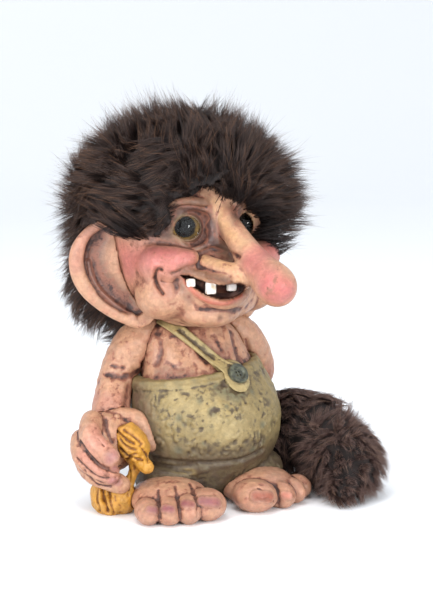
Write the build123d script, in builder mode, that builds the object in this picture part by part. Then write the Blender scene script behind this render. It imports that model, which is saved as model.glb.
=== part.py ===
from build123d import *
import math
import os

os.makedirs("parts", exist_ok=True)

# The frame: Z is up, the ground is Z = 0, the figure sits facing -Y and its right side is at -X.
# Tables ending in SHARES hold shares of this one size, so the whole figure scales with it.
BREADTH = 100.0
# The sitting figure is set off sideways and backwards so that its box is centred on the origin.
SIT_SHARES = (-0.049, 0.036, 0.0)
# The head is turned a little towards the figure's left, about the vertical.
HEAD_TURN = 10.0
HEAD_SEAT_SHARES = (-0.038, 0.047, 0.0)

# Wall and fit sizes of the glued pieces, in millimetres.
GLUE_GAP = 0.12
HEM_RISE = 0.9
HEM_HEIGHT = 3.2
BACKING_WALL = 1.5
FUR_GAP = 0.4
SWING_GAP = 0.35

# Glass eyes with a painted disc behind each one; they look to the figure's right of the head's middle.
GAZE_TURN = -33.0
EYE_RADIUS = 6.0
EYE_BACK = 1.8
IRIS_RADIUS = 5.2
IRIS_THICKNESS = 0.8

# Ears: a dished plate with a raised rim.
EAR_THICKNESS = 6.0
EAR_DISH = 3.4
EAR_SLANT = 30.0
EAR_ROOM = 1.0

# Dungaree strap, button and their places on the chest.
STRAP_WIDTH = 5.2
STRAP_THICKNESS = 2.0
STRAP_LOOP_RADIUS = 6.0
BUTTON_RADIUS = 4.6
BUTTON_DISH_RADIUS = 2.9
BUTTON_THICKNESS = 2.6
BUTTON_DISH = 0.9

# Tail: an upright knuckle at the root of the core turns in a round cup in the seat of the dungarees.
ROOT_SHARE = 0.046
KNUCKLE_SHARE = 0.070

SIT = Plane(origin=tuple(BREADTH * share for share in SIT_SHARES))
HEAD = Plane(
    origin=SIT.from_local_coords(tuple(BREADTH * share for share in HEAD_SEAT_SHARES)),
    x_dir=(math.cos(math.radians(HEAD_TURN)), math.sin(math.radians(HEAD_TURN)), 0),
    z_dir=(0, 0, 1),
)
HEAD_MIDDLE = Plane(origin=HEAD.origin, x_dir=(0, 0, 1), z_dir=HEAD.x_dir)

# A limb's end is rounded by sections past it: share of the radius beyond the end, share of its width.
END_SHARES = [(0.95, 0.30), (0.72, 0.69)]


def sized(shares):
    """Turn a row of shares of the breadth into millimetres."""
    return tuple(BREADTH * share for share in shares)


def flipped(rows):
    """Give the rows of the other side, with the first value of each row turned round."""
    return [(-row[0],) + tuple(row[1:]) for row in rows]


def stack(rows, frame, grow=0):
    """Loft upright through level ellipses: height, place across, place back, half width, half depth."""
    with BuildPart() as form:
        for row in rows:
            height, across, back, half_width, half_depth = sized(row)
            with BuildSketch(frame.offset(height)):
                with Locations((across, back)):
                    Ellipse(half_width + grow, half_depth + grow)
        loft()
    return form.part


def limb(rows, frame, grow=0):
    """Loft round sections along a run of centres: x, y, z and radius."""
    centres = [frame.from_local_coords(sized(row[:3])) for row in rows]
    radii = [BREADTH * row[3] + grow for row in rows]
    start_way = (centres[0] - centres[1]).normalized()
    end_way = (centres[-1] - centres[-2]).normalized()
    sections = [
        (centres[0] + start_way * radii[0] * beyond, -start_way, radii[0] * width)
        for beyond, width in END_SHARES
    ]
    sections.append((centres[0], -start_way, radii[0]))
    for place in range(1, len(rows) - 1):
        ahead = (centres[place + 1] - centres[place - 1]).normalized()
        sections.append((centres[place], ahead, radii[place]))
    sections.append((centres[-1], end_way, radii[-1]))
    sections += [
        (centres[-1] + end_way * radii[-1] * beyond, end_way, radii[-1] * width)
        for beyond, width in reversed(END_SHARES)
    ]
    with BuildPart() as form:
        for centre, ahead, radius in sections:
            with BuildSketch(Plane(origin=centre, z_dir=ahead)):
                Circle(radius)
        loft()
    return form.part


def egg(row, frame, turn=0, grow=0):
    """Make a rounded lump: centre x, y, z and the three half sizes, turned about the vertical."""
    centre = sized(row[:3])
    half_sizes = tuple(size + grow for size in sized(row[3:]))
    stretch = tuple(size / half_sizes[0] for size in half_sizes)
    ball = scale(Sphere(half_sizes[0], mode=Mode.PRIVATE), by=stretch, mode=Mode.PRIVATE)
    return frame.location * Location(centre, (0, 0, turn)) * ball


# The bare trunk from the seat to the neck.
TRUNK_SHARES = [
    (0.090, 0.000, -0.040, 0.160, 0.130),
    (0.160, 0.000, -0.050, 0.255, 0.220),
    (0.260, 0.005, -0.055, 0.295, 0.256),
    (0.380, 0.005, -0.055, 0.300, 0.262),
    (0.480, 0.000, -0.030, 0.278, 0.232),
    (0.570, -0.010, 0.010, 0.252, 0.196),
    (0.660, -0.025, 0.040, 0.232, 0.172),
    (0.740, -0.032, 0.055, 0.180, 0.140),
    (0.800, -0.036, 0.050, 0.125, 0.115),
]
SEAT_SHARES = [
    (0.000, 0.000, -0.040, 0.170, 0.140),
    (0.060, 0.000, -0.040, 0.235, 0.195),
    (0.140, 0.000, -0.048, 0.280, 0.245),
    (0.240, 0.000, -0.055, 0.324, 0.278),
    (0.350, -0.002, -0.060, 0.337, 0.290),
    (0.460, -0.004, -0.040, 0.322, 0.268),
    (0.570, -0.012, 0.005, 0.282, 0.222),
    (0.620, -0.018, 0.025, 0.262, 0.206),
]
LEG_SHARES = (0.170, -0.090, 0.105, 0.170, 0.175, 0.105)
LEG_SPLAY = 12.0
STRAP_END_SHARES = [(-0.180, 0.770), (0.059, 0.545)]
STRAP_BACK_SHARE = 0.060
# Where the strap leaves the bib's edge it slopes down to the chest.
BIB_EDGE_SHARES = (0.630, -0.020, 0.030, 0.236, 0.178)
BUTTON_SHARES = (0.060, -0.240, 0.547)
BUTTON_WAY_SHARES = (0.20, -0.78, 0.60)
BIB_TILT = 7.0
BIB_TOP_SHARES = (0.100, 0.0, 0.575)

# The head: a skull, a muzzle under it and the soft forms of the face.
SKULL_SHARES = [
    (0.750, 0.000, -0.100, 0.120, 0.100),
    (0.785, 0.000, -0.095, 0.195, 0.165),
    (0.840, 0.000, -0.085, 0.265, 0.225),
    (0.910, 0.000, -0.055, 0.305, 0.270),
    (0.990, 0.000, -0.020, 0.328, 0.298),
    (1.070, 0.000, 0.020, 0.340, 0.310),
    (1.160, 0.000, 0.040, 0.350, 0.322),
    (1.260, 0.000, 0.045, 0.345, 0.325),
    (1.360, 0.000, 0.050, 0.310, 0.295),
    (1.450, 0.000, 0.050, 0.240, 0.225),
    (1.510, 0.000, 0.050, 0.145, 0.135),
    (1.535, 0.000, 0.050, 0.060, 0.055),
]
MUZZLE_SHARES = (-0.035, -0.205, 0.905, 0.215, 0.155, 0.125)
CHIN_SHARES = (-0.050, -0.245, 0.825, 0.140, 0.100, 0.070)
CHEEK_SHARES = (-0.225, -0.195, 1.030, 0.140, 0.095, 0.080)
CHEEK_TURN = 35.0
BROW_SHARES = (-0.130, -0.210, 1.285, 0.120, 0.066, 0.036)
BROW_TURN = 20.0
JOWL_SHARES = (-0.225, -0.140, 0.900, 0.110, 0.120, 0.110)
NOSE_SHARES = [
    (0.005, -0.180, 1.285, 0.052),
    (0.008, -0.290, 1.195, 0.050),
    (0.010, -0.370, 1.125, 0.055),
    (0.010, -0.470, 1.050, 0.066),
    (0.010, -0.560, 0.998, 0.078),
    (0.010, -0.625, 0.962, 0.084),
]
WING_SHARES = [
    (-0.105, -0.260, 1.020, 0.046),
    (-0.090, -0.360, 1.000, 0.055),
    (-0.055, -0.460, 0.980, 0.052),
]
LOWER_LIP_SHARES = [
    (-0.215, -0.245, 0.965, 0.020),
    (-0.155, -0.315, 0.915, 0.028),
    (-0.080, -0.350, 0.883, 0.032),
    (0.000, -0.350, 0.880, 0.032),
    (0.070, -0.325, 0.910, 0.027),
    (0.120, -0.290, 0.950, 0.020),
]
UPPER_LIP_SHARES = [
    (-0.225, -0.245, 0.990, 0.018),
    (-0.155, -0.315, 0.985, 0.024),
    (-0.080, -0.345, 0.972, 0.027),
    (0.000, -0.350, 0.962, 0.026),
    (0.070, -0.330, 0.965, 0.022),
]
MOUTH_SHARES = (-0.065, -0.330, 0.934, 0.165, 0.085, 0.048)
MOUTH_TURN = -8.0
MOUTH_CORNER_SHARES = (-0.188, -0.335, 0.957, 0.030, 0.056, 0.021)

# Eyes stand a little to the left of the head's own middle.
EYE_SHARES = [(-0.140, -0.190, 1.178), (0.162, -0.190, 1.178)]
SOCKET_SHARES = (0.088, 0.075, 0.078)

# Teeth: centre and half sizes of each one, from the figure's right to its left.
TOOTH_SHARES = [
    ("right_tooth", (-0.185, -0.300, 0.958, 0.018, 0.012, 0.017)),
    ("middle_tooth", (-0.112, -0.338, 0.935, 0.022, 0.013, 0.026)),
    ("left_tooth", (-0.012, -0.345, 0.938, 0.020, 0.013, 0.021)),
]

EAR_MIDDLE_SHARES = (0.080, 1.000)
LEFT_EAR_OUT_SHARE = 0.030
# Ear outline and the inner edge of its rim, outwards from the ear's own upright line.
EAR_SEAT_SHARES = (-0.310, -0.040, 0.0)
EAR_OUTLINE_SHARES = [
    (0.020, 1.225),
    (0.110, 1.220),
    (0.172, 1.186),
    (0.226, 1.135),
    (0.258, 1.074),
    (0.262, 1.010),
    (0.238, 0.930),
    (0.190, 0.868),
    (0.120, 0.812),
    (0.030, 0.768),
    (-0.050, 0.752),
    (-0.105, 0.800),
    (-0.100, 1.000),
    (-0.050, 1.160),
]
EAR_DISH_SHARES = [
    (0.050, 1.175),
    (0.120, 1.172),
    (0.178, 1.130),
    (0.200, 1.060),
    (0.194, 0.992),
    (0.165, 0.930),
    (0.110, 0.868),
    (0.040, 0.815),
    (-0.030, 0.800),
    (-0.070, 0.850),
    (-0.060, 1.000),
    (-0.010, 1.130),
]

# Hairline of the wig, seen from the front: across and up.
HAIRLINE_SHARES = [
    (0.010, 1.400),
    (0.120, 1.330),
    (0.225, 1.260),
    (0.285, 1.160),
    (0.310, 1.060),
    (0.335, 0.940),
    (0.350, 0.800),
    (0.250, 0.660),
    (0.000, 0.620),
    (-0.250, 0.660),
    (-0.400, 0.800),
    (-0.400, 0.940),
    (-0.340, 1.080),
    (-0.285, 1.180),
    (-0.225, 1.265),
    (-0.110, 1.335),
]
HAIRLINE_BACK = -0.090 * BREADTH
FACE_REACH = 0.800 * BREADTH
EAR_SIGHT = 0.500 * BREADTH

WIG_SHARES = [
    (0.620, -0.040, 0.290, 0.120, 0.070),
    (0.680, -0.050, 0.285, 0.250, 0.130),
    (0.780, -0.050, 0.270, 0.360, 0.180),
    (0.880, -0.030, 0.215, 0.440, 0.260),
    (0.980, 0.000, 0.120, 0.490, 0.380),
    (1.080, 0.010, 0.070, 0.515, 0.450),
    (1.180, 0.010, 0.050, 0.530, 0.478),
    (1.260, 0.010, 0.050, 0.530, 0.480),
    (1.360, 0.010, 0.050, 0.520, 0.465),
    (1.460, 0.010, 0.050, 0.470, 0.420),
    (1.560, 0.010, 0.050, 0.370, 0.330),
    (1.630, 0.010, 0.050, 0.240, 0.210),
    (1.670, 0.010, 0.050, 0.090, 0.080),
]
BACKING_FLOOR_SHARE = 0.860

# Arms and hands.
RIGHT_ARM_SHARES = [
    (-0.225, 0.080, 0.715, 0.080),
    (-0.275, 0.080, 0.655, 0.092),
    (-0.340, 0.070, 0.570, 0.084),
    (-0.381, 0.045, 0.490, 0.079),
    (-0.417, -0.005, 0.415, 0.081),
    (-0.440, -0.045, 0.360, 0.081),
]
LEFT_ARM_SHARES = [
    (0.200, 0.080, 0.700, 0.078),
    (0.260, 0.090, 0.640, 0.086),
    (0.325, 0.110, 0.550, 0.078),
    (0.352, 0.140, 0.470, 0.070),
    (0.310, 0.200, 0.425, 0.064),
]
RIGHT_PALM_SHARES = [(-0.465, -0.090, 0.280, 0.140, 0.115, 0.130)]
RIGHT_FINGER_SHARES = [
    [(-0.545, -0.110, 0.380, 0.046), (-0.580, -0.200, 0.325, 0.046), (-0.530, -0.270, 0.257, 0.045)],
    [(-0.590, -0.100, 0.305, 0.043), (-0.612, -0.190, 0.250, 0.043), (-0.530, -0.275, 0.190, 0.041)],
    [(-0.585, -0.090, 0.235, 0.038), (-0.582, -0.180, 0.185, 0.040), (-0.478, -0.262, 0.138, 0.040)],
    [(-0.440, -0.080, 0.375, 0.046), (-0.350, -0.130, 0.365, 0.044), (-0.300, -0.160, 0.275, 0.040)],
]
LEFT_PALM_SHARES = [
    (0.310, 0.200, 0.425, 0.056),
    (0.250, 0.205, 0.410, 0.070),
    (0.205, 0.215, 0.400, 0.056),
]
LEFT_FINGER_SHARES = [
    [(0.220, 0.215, 0.455, 0.034), (0.160, 0.218, 0.450, 0.034), (0.100, 0.232, 0.435, 0.032)],
    [(0.215, 0.225, 0.405, 0.036), (0.150, 0.225, 0.400, 0.035), (0.085, 0.235, 0.390, 0.033)],
    [(0.220, 0.215, 0.355, 0.034), (0.160, 0.220, 0.350, 0.033), (0.110, 0.232, 0.345, 0.031)],
]

# Feet: an instep and four toes each, the big toe on the inner side.
RIGHT_FOOT_SHARES = (-0.265, -0.270, 0.060, 0.165, 0.170, 0.085)
RIGHT_FOOT_TURN = -13.0
RIGHT_TOE_SHARES = [
    (-0.165, -0.430, 0.060, 0.080, 0.102, 0.065),
    (-0.255, -0.435, 0.051, 0.056, 0.100, 0.059),
    (-0.335, -0.420, 0.049, 0.054, 0.096, 0.056),
    (-0.410, -0.385, 0.047, 0.052, 0.092, 0.053),
]
LEFT_FOOT_SHARES = (0.160, -0.245, 0.060, 0.160, 0.170, 0.085)
LEFT_FOOT_TURN = 10.0
LEFT_TOE_SHARES = [
    (0.068, -0.400, 0.062, 0.092, 0.105, 0.068),
    (0.190, -0.388, 0.051, 0.056, 0.090, 0.059),
    (0.270, -0.348, 0.049, 0.050, 0.084, 0.055),
    (0.335, -0.288, 0.047, 0.046, 0.076, 0.051),
]

# The stick: a knotted root at the ground, a thin shaft and a knob in the fist.
STICK_SHAFT_SHARES = [
    (-0.455, -0.190, 0.080, 0.034),
    (-0.415, -0.212, 0.140, 0.022),
    (-0.398, -0.218, 0.185, 0.024),
    (-0.392, -0.220, 0.225, 0.045),
    (-0.395, -0.215, 0.270, 0.064),
    (-0.412, -0.200, 0.320, 0.056),
]
STICK_ROOT_SHARES = [
    (-0.445, -0.195, 0.065, 0.062, 0.068, 0.075),
    (-0.510, -0.150, 0.070, 0.056, 0.060, 0.080),
    (-0.480, -0.170, 0.040, 0.080, 0.078, 0.055),
]
STUB_SHARES = [(-0.385, -0.235, 0.225, 0.026), (-0.370, -0.290, 0.205, 0.028)]

# The tail comes out behind the left hip and lies round it to the front.
ROOT_SHARES = (0.235, 0.150, 0.180)
TAIL_CORE_SHARES = [
    (0.235, 0.150, 0.180, ROOT_SHARE),
    (0.330, 0.160, 0.190, 0.034),
    (0.450, 0.100, 0.200, 0.036),
    (0.555, -0.060, 0.180, 0.034),
    (0.590, -0.220, 0.130, 0.030),
    (0.575, -0.340, 0.100, 0.022),
]
TAIL_FUR_SHARES = [
    (0.330, 0.180, 0.190, 0.100),
    (0.440, 0.100, 0.205, 0.178),
    (0.525, -0.030, 0.200, 0.200),
    (0.560, -0.180, 0.168, 0.192),
    (0.550, -0.320, 0.138, 0.176),
    (0.520, -0.430, 0.108, 0.146),
    (0.440, -0.510, 0.072, 0.085),
]

# Forms that several pieces are fitted to.
trunk = stack(TRUNK_SHARES, SIT)
skull = stack(SKULL_SHARES, HEAD)
root_centre = SIT.from_local_coords(sized(ROOT_SHARES))
cup_radius = BREADTH * ROOT_SHARE + SWING_GAP

face_lumps = []
lump_rooms = []
for row, turn in ((CHEEK_SHARES, CHEEK_TURN), (JOWL_SHARES, 0), (BROW_SHARES, BROW_TURN)):
    face_lumps.append(egg(row, HEAD, -turn))
    face_lumps.append(egg(flipped([row])[0], HEAD, turn))
    lump_rooms.append(egg(row, HEAD, -turn, GLUE_GAP))
    lump_rooms.append(egg(flipped([row])[0], HEAD, turn, GLUE_GAP))

# The head is cast in one with the nose and lips; sockets and mouth are hollows in it.
with BuildPart() as head:
    add(skull)
    add(egg(MUZZLE_SHARES, HEAD))
    add(egg(CHIN_SHARES, HEAD))
    for lump in face_lumps:
        add(lump)
    for eye_row in EYE_SHARES:
        socket_row = (eye_row[0], eye_row[1] - SOCKET_SHARES[1], eye_row[2]) + SOCKET_SHARES
        add(egg(socket_row, HEAD), mode=Mode.SUBTRACT)
    add(limb(NOSE_SHARES, HEAD))
    add(limb(WING_SHARES, HEAD))
    add(limb(flipped(WING_SHARES), HEAD))
    add(egg(MOUTH_SHARES, HEAD, MOUTH_TURN), mode=Mode.SUBTRACT)
    add(limb(LOWER_LIP_SHARES, HEAD))
    add(limb(UPPER_LIP_SHARES, HEAD))
    add(egg(MOUTH_CORNER_SHARES, HEAD), mode=Mode.SUBTRACT)
    for eye_row in EYE_SHARES:
        with Locations(HEAD.from_local_coords(sized(eye_row))):
            Sphere(EYE_RADIUS, mode=Mode.SUBTRACT)
    for tooth_name, tooth_row in TOOTH_SHARES:
        add(egg(tooth_row, HEAD), mode=Mode.SUBTRACT)
    add(trunk, mode=Mode.SUBTRACT)

# Each eye is a glass ball with a flat painted back, and the painted disc sits in that flat.
glass_pieces = []
gaze_back = HEAD.y_dir.rotate(Axis.Z, GAZE_TURN)
for side_name, eye_row in zip(("right", "left"), EYE_SHARES):
    eye_centre = HEAD.from_local_coords(sized(eye_row))
    back_plane = Plane(origin=eye_centre + gaze_back * EYE_BACK, z_dir=gaze_back)
    with BuildPart() as glass:
        with Locations(eye_centre):
            Sphere(EYE_RADIUS)
        split(bisect_by=back_plane, keep=Keep.BOTTOM)
    with BuildPart() as disc:
        with BuildSketch(back_plane):
            Circle(IRIS_RADIUS)
        extrude(amount=IRIS_THICKNESS)
    glass_pieces.append((f"{side_name}_eye", glass))
    glass_pieces.append((f"{side_name}_iris", disc))

# Teeth are set in the gum inside the mouth.
tooth_pieces = []
for tooth_name, tooth_row in TOOTH_SHARES:
    with BuildPart() as tooth:
        add(egg(tooth_row, HEAD))
    tooth_pieces.append((tooth_name, tooth))

# An ear is a plate with a dished front; its root is cut to the side of the head.
ear_slant = math.radians(EAR_SLANT)
ear_out = Vector(-math.cos(ear_slant), math.sin(ear_slant), 0)
ear_back = Vector(math.sin(ear_slant), math.cos(ear_slant), 0)
EAR = Plane(
    origin=HEAD.from_local_coords(sized(EAR_SEAT_SHARES)),
    x_dir=HEAD.from_local_coords(ear_out) - HEAD.origin,
    z_dir=HEAD.from_local_coords(ear_back) - HEAD.origin,
)


def ear_leaf(rows, plane, grow=0):
    """Draw one closed outline of the ear on a plane, pushed out from the ear's middle where asked."""
    points = []
    for row in rows:
        point = Vector(*sized(row))
        away = (point - Vector(*sized(EAR_MIDDLE_SHARES))).normalized()
        points.append(point + away * grow)
    with BuildSketch(plane) as leaf:
        with BuildLine():
            Spline(points, periodic=True)
        make_face()
    return leaf.sketch


with BuildPart() as right_ear_leaf:
    extrude(ear_leaf(EAR_OUTLINE_SHARES, EAR), amount=EAR_THICKNESS)
    extrude(ear_leaf(EAR_DISH_SHARES, EAR), amount=EAR_DISH, mode=Mode.SUBTRACT)
ear_shift = EAR.x_dir * BREADTH * LEFT_EAR_OUT_SHARE
with BuildPart() as right_ear:
    add(right_ear_leaf.part)
    add(skull, mode=Mode.SUBTRACT)
    add(egg(JOWL_SHARES, HEAD), mode=Mode.SUBTRACT)
with BuildPart() as left_ear:
    mirror(Pos(ear_shift) * right_ear_leaf.part, about=HEAD_MIDDLE)
    add(skull, mode=Mode.SUBTRACT)
    add(egg(flipped([JOWL_SHARES])[0], HEAD), mode=Mode.SUBTRACT)

# The dungarees are a skin over the trunk with two short legs, and a cup for the tail's root.
bib_top = Plane(
    origin=SIT.from_local_coords(sized(BIB_TOP_SHARES)),
    x_dir=(math.cos(math.radians(BIB_TILT)), 0, math.sin(math.radians(BIB_TILT))),
    z_dir=(-math.sin(math.radians(BIB_TILT)), 0, math.cos(math.radians(BIB_TILT))),
)
with BuildPart() as hem:
    add(stack(SEAT_SHARES, SIT, HEM_RISE))
    split(bisect_by=bib_top, keep=Keep.BOTTOM)
    split(bisect_by=bib_top.offset(-HEM_HEIGHT), keep=Keep.TOP)
with BuildPart() as cloth_form:
    add(stack(SEAT_SHARES, SIT))
    split(bisect_by=bib_top, keep=Keep.BOTTOM)
    add(hem.part)
    add(egg(LEG_SHARES, SIT, LEG_SPLAY))
    add(egg(flipped([LEG_SHARES])[0], SIT, -LEG_SPLAY))
    split(bisect_by=Plane.XY, keep=Keep.TOP)
with BuildPart() as dungarees:
    add(cloth_form.part)
    add(trunk, mode=Mode.SUBTRACT)
    with Locations(root_centre):
        Cylinder(cup_radius, 2 * cup_radius, mode=Mode.SUBTRACT)
with BuildPart() as torso:
    add(trunk)
    with Locations(root_centre):
        Cylinder(cup_radius, 2 * cup_radius, mode=Mode.SUBTRACT)

# Feet, then the stick that stands beside the right one.
foot_pieces = []
for side_name, foot_row, turn, toe_rows in (
    ("right", RIGHT_FOOT_SHARES, RIGHT_FOOT_TURN, RIGHT_TOE_SHARES),
    ("left", LEFT_FOOT_SHARES, LEFT_FOOT_TURN, LEFT_TOE_SHARES),
):
    with BuildPart() as foot:
        add([egg(foot_row, SIT, turn)] + [egg(toe_row, SIT, turn) for toe_row in toe_rows])
        split(bisect_by=Plane.XY, keep=Keep.TOP)
        add(cloth_form.part, mode=Mode.SUBTRACT)
    foot_pieces.append((f"{side_name}_foot", foot))

with BuildPart() as stick:
    add(limb(STICK_SHAFT_SHARES, SIT))
    for row in STICK_ROOT_SHARES:
        add(egg(row, SIT))
    add(limb(STUB_SHARES, SIT))
    split(bisect_by=Plane.XY, keep=Keep.TOP)
    add(cloth_form.part, mode=Mode.SUBTRACT)
    add(foot_pieces[0][1].part, mode=Mode.SUBTRACT)

# Arms run from the shoulders and end in fists; the right fist is closed round the stick.
arm_pieces = []
for side_name, arm_rows, palm_rows, finger_rows, ear in (
    ("right", RIGHT_ARM_SHARES, RIGHT_PALM_SHARES, RIGHT_FINGER_SHARES, right_ear),
    ("left", LEFT_ARM_SHARES, LEFT_PALM_SHARES, LEFT_FINGER_SHARES, left_ear),
):
    with BuildPart() as hand:
        add(limb(palm_rows, SIT) if len(palm_rows) > 1 else egg(palm_rows[0], SIT))
        for finger in finger_rows:
            add(limb(finger, SIT))
        add(cloth_form.part, mode=Mode.SUBTRACT)
        add(stick.part, mode=Mode.SUBTRACT)
    with BuildPart() as arm:
        add(limb(arm_rows, SIT))
        add(trunk, mode=Mode.SUBTRACT)
        add(cloth_form.part, mode=Mode.SUBTRACT)
        add(hand.part, mode=Mode.SUBTRACT)
        add(ear.part, mode=Mode.SUBTRACT)
    arm_pieces.append((f"{side_name}_arm", arm))
    arm_pieces.append((f"{side_name}_hand", hand))

# The strap lies on the chest and on the bib, with a round end under the button.
FRONT = Plane(origin=SIT.origin, x_dir=(1, 0, 0), z_dir=(0, -1, 0))
with BuildPart() as strap:
    add(stack(TRUNK_SHARES, SIT, STRAP_THICKNESS))
    add(stack(SEAT_SHARES[3:-1] + [BIB_EDGE_SHARES], SIT, STRAP_THICKNESS))
    with BuildSketch(FRONT.offset(-BREADTH * STRAP_BACK_SHARE)):
        for end in STRAP_END_SHARES:
            with Locations(sized(end)):
                Circle(STRAP_WIDTH / 2)
        make_hull()
        with Locations(sized(STRAP_END_SHARES[1])):
            Circle(STRAP_LOOP_RADIUS)
    extrude(amount=BREADTH, mode=Mode.INTERSECT)
    add(trunk, mode=Mode.SUBTRACT)
    add(cloth_form.part, mode=Mode.SUBTRACT)
    add(head.part, mode=Mode.SUBTRACT)
    add(arm_pieces[0][1].part, mode=Mode.SUBTRACT)
button_place = SIT.from_local_coords(sized(BUTTON_SHARES))
button_way = Vector(*BUTTON_WAY_SHARES).normalized()
with BuildPart() as button:
    with BuildSketch(Plane(origin=button_place, z_dir=button_way)):
        Circle(BUTTON_RADIUS)
    extrude(amount=BUTTON_THICKNESS)
    with BuildSketch(Plane(origin=button_place + button_way * BUTTON_THICKNESS, z_dir=button_way)):
        Circle(BUTTON_DISH_RADIUS)
    extrude(amount=-BUTTON_DISH, mode=Mode.SUBTRACT)
    add(strap.part, mode=Mode.SUBTRACT)
    add(cloth_form.part, mode=Mode.SUBTRACT)

# The wig: a thin backing glued over the skull, and the thick fur on it, open at the face and ears.
with BuildPart() as hair_room:
    hairline_origin = HEAD.origin + HEAD.y_dir * HAIRLINE_BACK
    with BuildSketch(Plane(origin=hairline_origin, x_dir=HEAD.x_dir, z_dir=-HEAD.y_dir)):
        with BuildLine():
            Spline([sized(row) for row in HAIRLINE_SHARES], periodic=True)
        make_face()
    extrude(amount=FACE_REACH)
with BuildPart() as ear_room:
    extrude(
        ear_leaf(EAR_OUTLINE_SHARES, EAR.offset(-EAR_SIGHT), EAR_ROOM),
        amount=EAR_SIGHT + EAR_THICKNESS + FUR_GAP,
    )

with BuildPart() as left_ear_room:
    mirror(Pos(ear_shift) * ear_room.part, about=HEAD_MIDDLE)
# The backing stands off the skull by the glue under it, and the fur off the backing.
skull_room = Pos(0, 0, GLUE_GAP) * stack(SKULL_SHARES, HEAD, 2 * GLUE_GAP)
backing_room = Pos(0, 0, GLUE_GAP) * stack(SKULL_SHARES, HEAD, BACKING_WALL + 2 * GLUE_GAP)
with BuildPart() as wig_backing:
    add(stack(SKULL_SHARES, HEAD, BACKING_WALL))
    split(bisect_by=Plane.XY.offset(BREADTH * BACKING_FLOOR_SHARE), keep=Keep.TOP)
    add(skull_room, mode=Mode.SUBTRACT)
    add(hair_room.part, mode=Mode.SUBTRACT)
    add(ear_room.part, mode=Mode.SUBTRACT)
    add(left_ear_room.part, mode=Mode.SUBTRACT)
    for lump_room in lump_rooms:
        add(lump_room, mode=Mode.SUBTRACT)
with BuildPart() as wig_fur:
    add(stack(WIG_SHARES, HEAD))
    add(backing_room, mode=Mode.SUBTRACT)
    add(hair_room.part, mode=Mode.SUBTRACT)
    add(ear_room.part, mode=Mode.SUBTRACT)
    add(left_ear_room.part, mode=Mode.SUBTRACT)
    add(stack(TRUNK_SHARES, SIT, FUR_GAP), mode=Mode.SUBTRACT)
    add(limb(RIGHT_ARM_SHARES, SIT, FUR_GAP), mode=Mode.SUBTRACT)
    for lump_room in lump_rooms:
        add(lump_room, mode=Mode.SUBTRACT)

with BuildPart() as tail_core:
    add(limb(TAIL_CORE_SHARES, SIT))
    with Locations(root_centre):
        Cylinder(BREADTH * ROOT_SHARE, BREADTH * KNUCKLE_SHARE)
with BuildPart() as tail_fur:
    add(limb(TAIL_FUR_SHARES, SIT))
    split(bisect_by=Plane.XY.offset(FUR_GAP), keep=Keep.TOP)
    add(tail_core.part, mode=Mode.SUBTRACT)
    add(stack(SEAT_SHARES, SIT, SWING_GAP + FUR_GAP), mode=Mode.SUBTRACT)
    add(egg(LEG_SHARES, SIT, LEG_SPLAY, FUR_GAP), mode=Mode.SUBTRACT)
    add(egg(LEFT_FOOT_SHARES, SIT, LEFT_FOOT_TURN, FUR_GAP), mode=Mode.SUBTRACT)
    for toe_row in LEFT_TOE_SHARES:
        add(egg(toe_row, SIT, LEFT_FOOT_TURN, FUR_GAP), mode=Mode.SUBTRACT)

pieces = [("head", head), ("right_ear", right_ear), ("left_ear", left_ear), ("torso", torso)]
pieces += [("dungarees", dungarees), ("strap", strap), ("button", button), ("stick", stick)]
pieces += glass_pieces + tooth_pieces + foot_pieces + arm_pieces
pieces += [("wig_backing", wig_backing), ("wig_fur", wig_fur)]
pieces += [("tail_core", tail_core), ("tail_fur", tail_fur)]
for name, piece in pieces:
    piece.part.label = name
    export_step(piece.part, f"parts/{name}.step")
    print(name, len(piece.part.solids()), piece.part.is_valid, round(piece.part.volume / 1000, 2))
whole = Compound([piece.part for name, piece in pieces]).bounding_box()
print("box", whole.min, whole.max)
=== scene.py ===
# %% [markdown]
# # A sitting folk troll
# The figure is cast in resin, painted by hand and aged with a dark stain, with glass eyes and real fur.
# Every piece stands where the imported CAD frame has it, so the frame is loaded first and its box is kept.

# %% Load the frame
import math

import bmesh
import bpy
import numpy as np
from mathutils import Matrix, Vector
from mathutils.bvhtree import BVHTree


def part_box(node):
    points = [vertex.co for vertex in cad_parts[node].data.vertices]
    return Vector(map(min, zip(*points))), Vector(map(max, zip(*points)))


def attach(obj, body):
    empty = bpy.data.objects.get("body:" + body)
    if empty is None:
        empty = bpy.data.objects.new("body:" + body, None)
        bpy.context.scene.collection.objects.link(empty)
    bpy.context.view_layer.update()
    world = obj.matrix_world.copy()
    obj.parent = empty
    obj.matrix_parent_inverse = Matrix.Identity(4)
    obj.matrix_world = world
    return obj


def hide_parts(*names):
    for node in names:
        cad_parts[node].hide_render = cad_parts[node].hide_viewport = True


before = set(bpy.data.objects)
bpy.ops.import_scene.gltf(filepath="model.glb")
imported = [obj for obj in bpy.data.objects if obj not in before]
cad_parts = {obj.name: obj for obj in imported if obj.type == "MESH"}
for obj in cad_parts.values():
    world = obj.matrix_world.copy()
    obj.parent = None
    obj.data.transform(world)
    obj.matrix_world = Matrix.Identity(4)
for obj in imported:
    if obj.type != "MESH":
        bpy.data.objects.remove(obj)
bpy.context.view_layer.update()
MM = 0.001
print("nodes", len(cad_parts))

# %% [markdown]
# ## Camera
# The photograph was taken from the front right, a little above the figure, with a long lens.
# The camera's place was found by fitting the figure's own feet, eyes and nose to their pixels. With it,
# any pixel of the photograph becomes a line of sight, and the sculpting below starts from such pixels.

# %% The camera
PHOTO_SIZE = (433, 607)
FOCAL_PIXELS = 1428
SENSOR = 36
CAMERA_PLACE = (-0.2585, -0.5572, 0.165)
CAMERA_TILT = 82.4
CAMERA_TURN = -25

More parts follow.
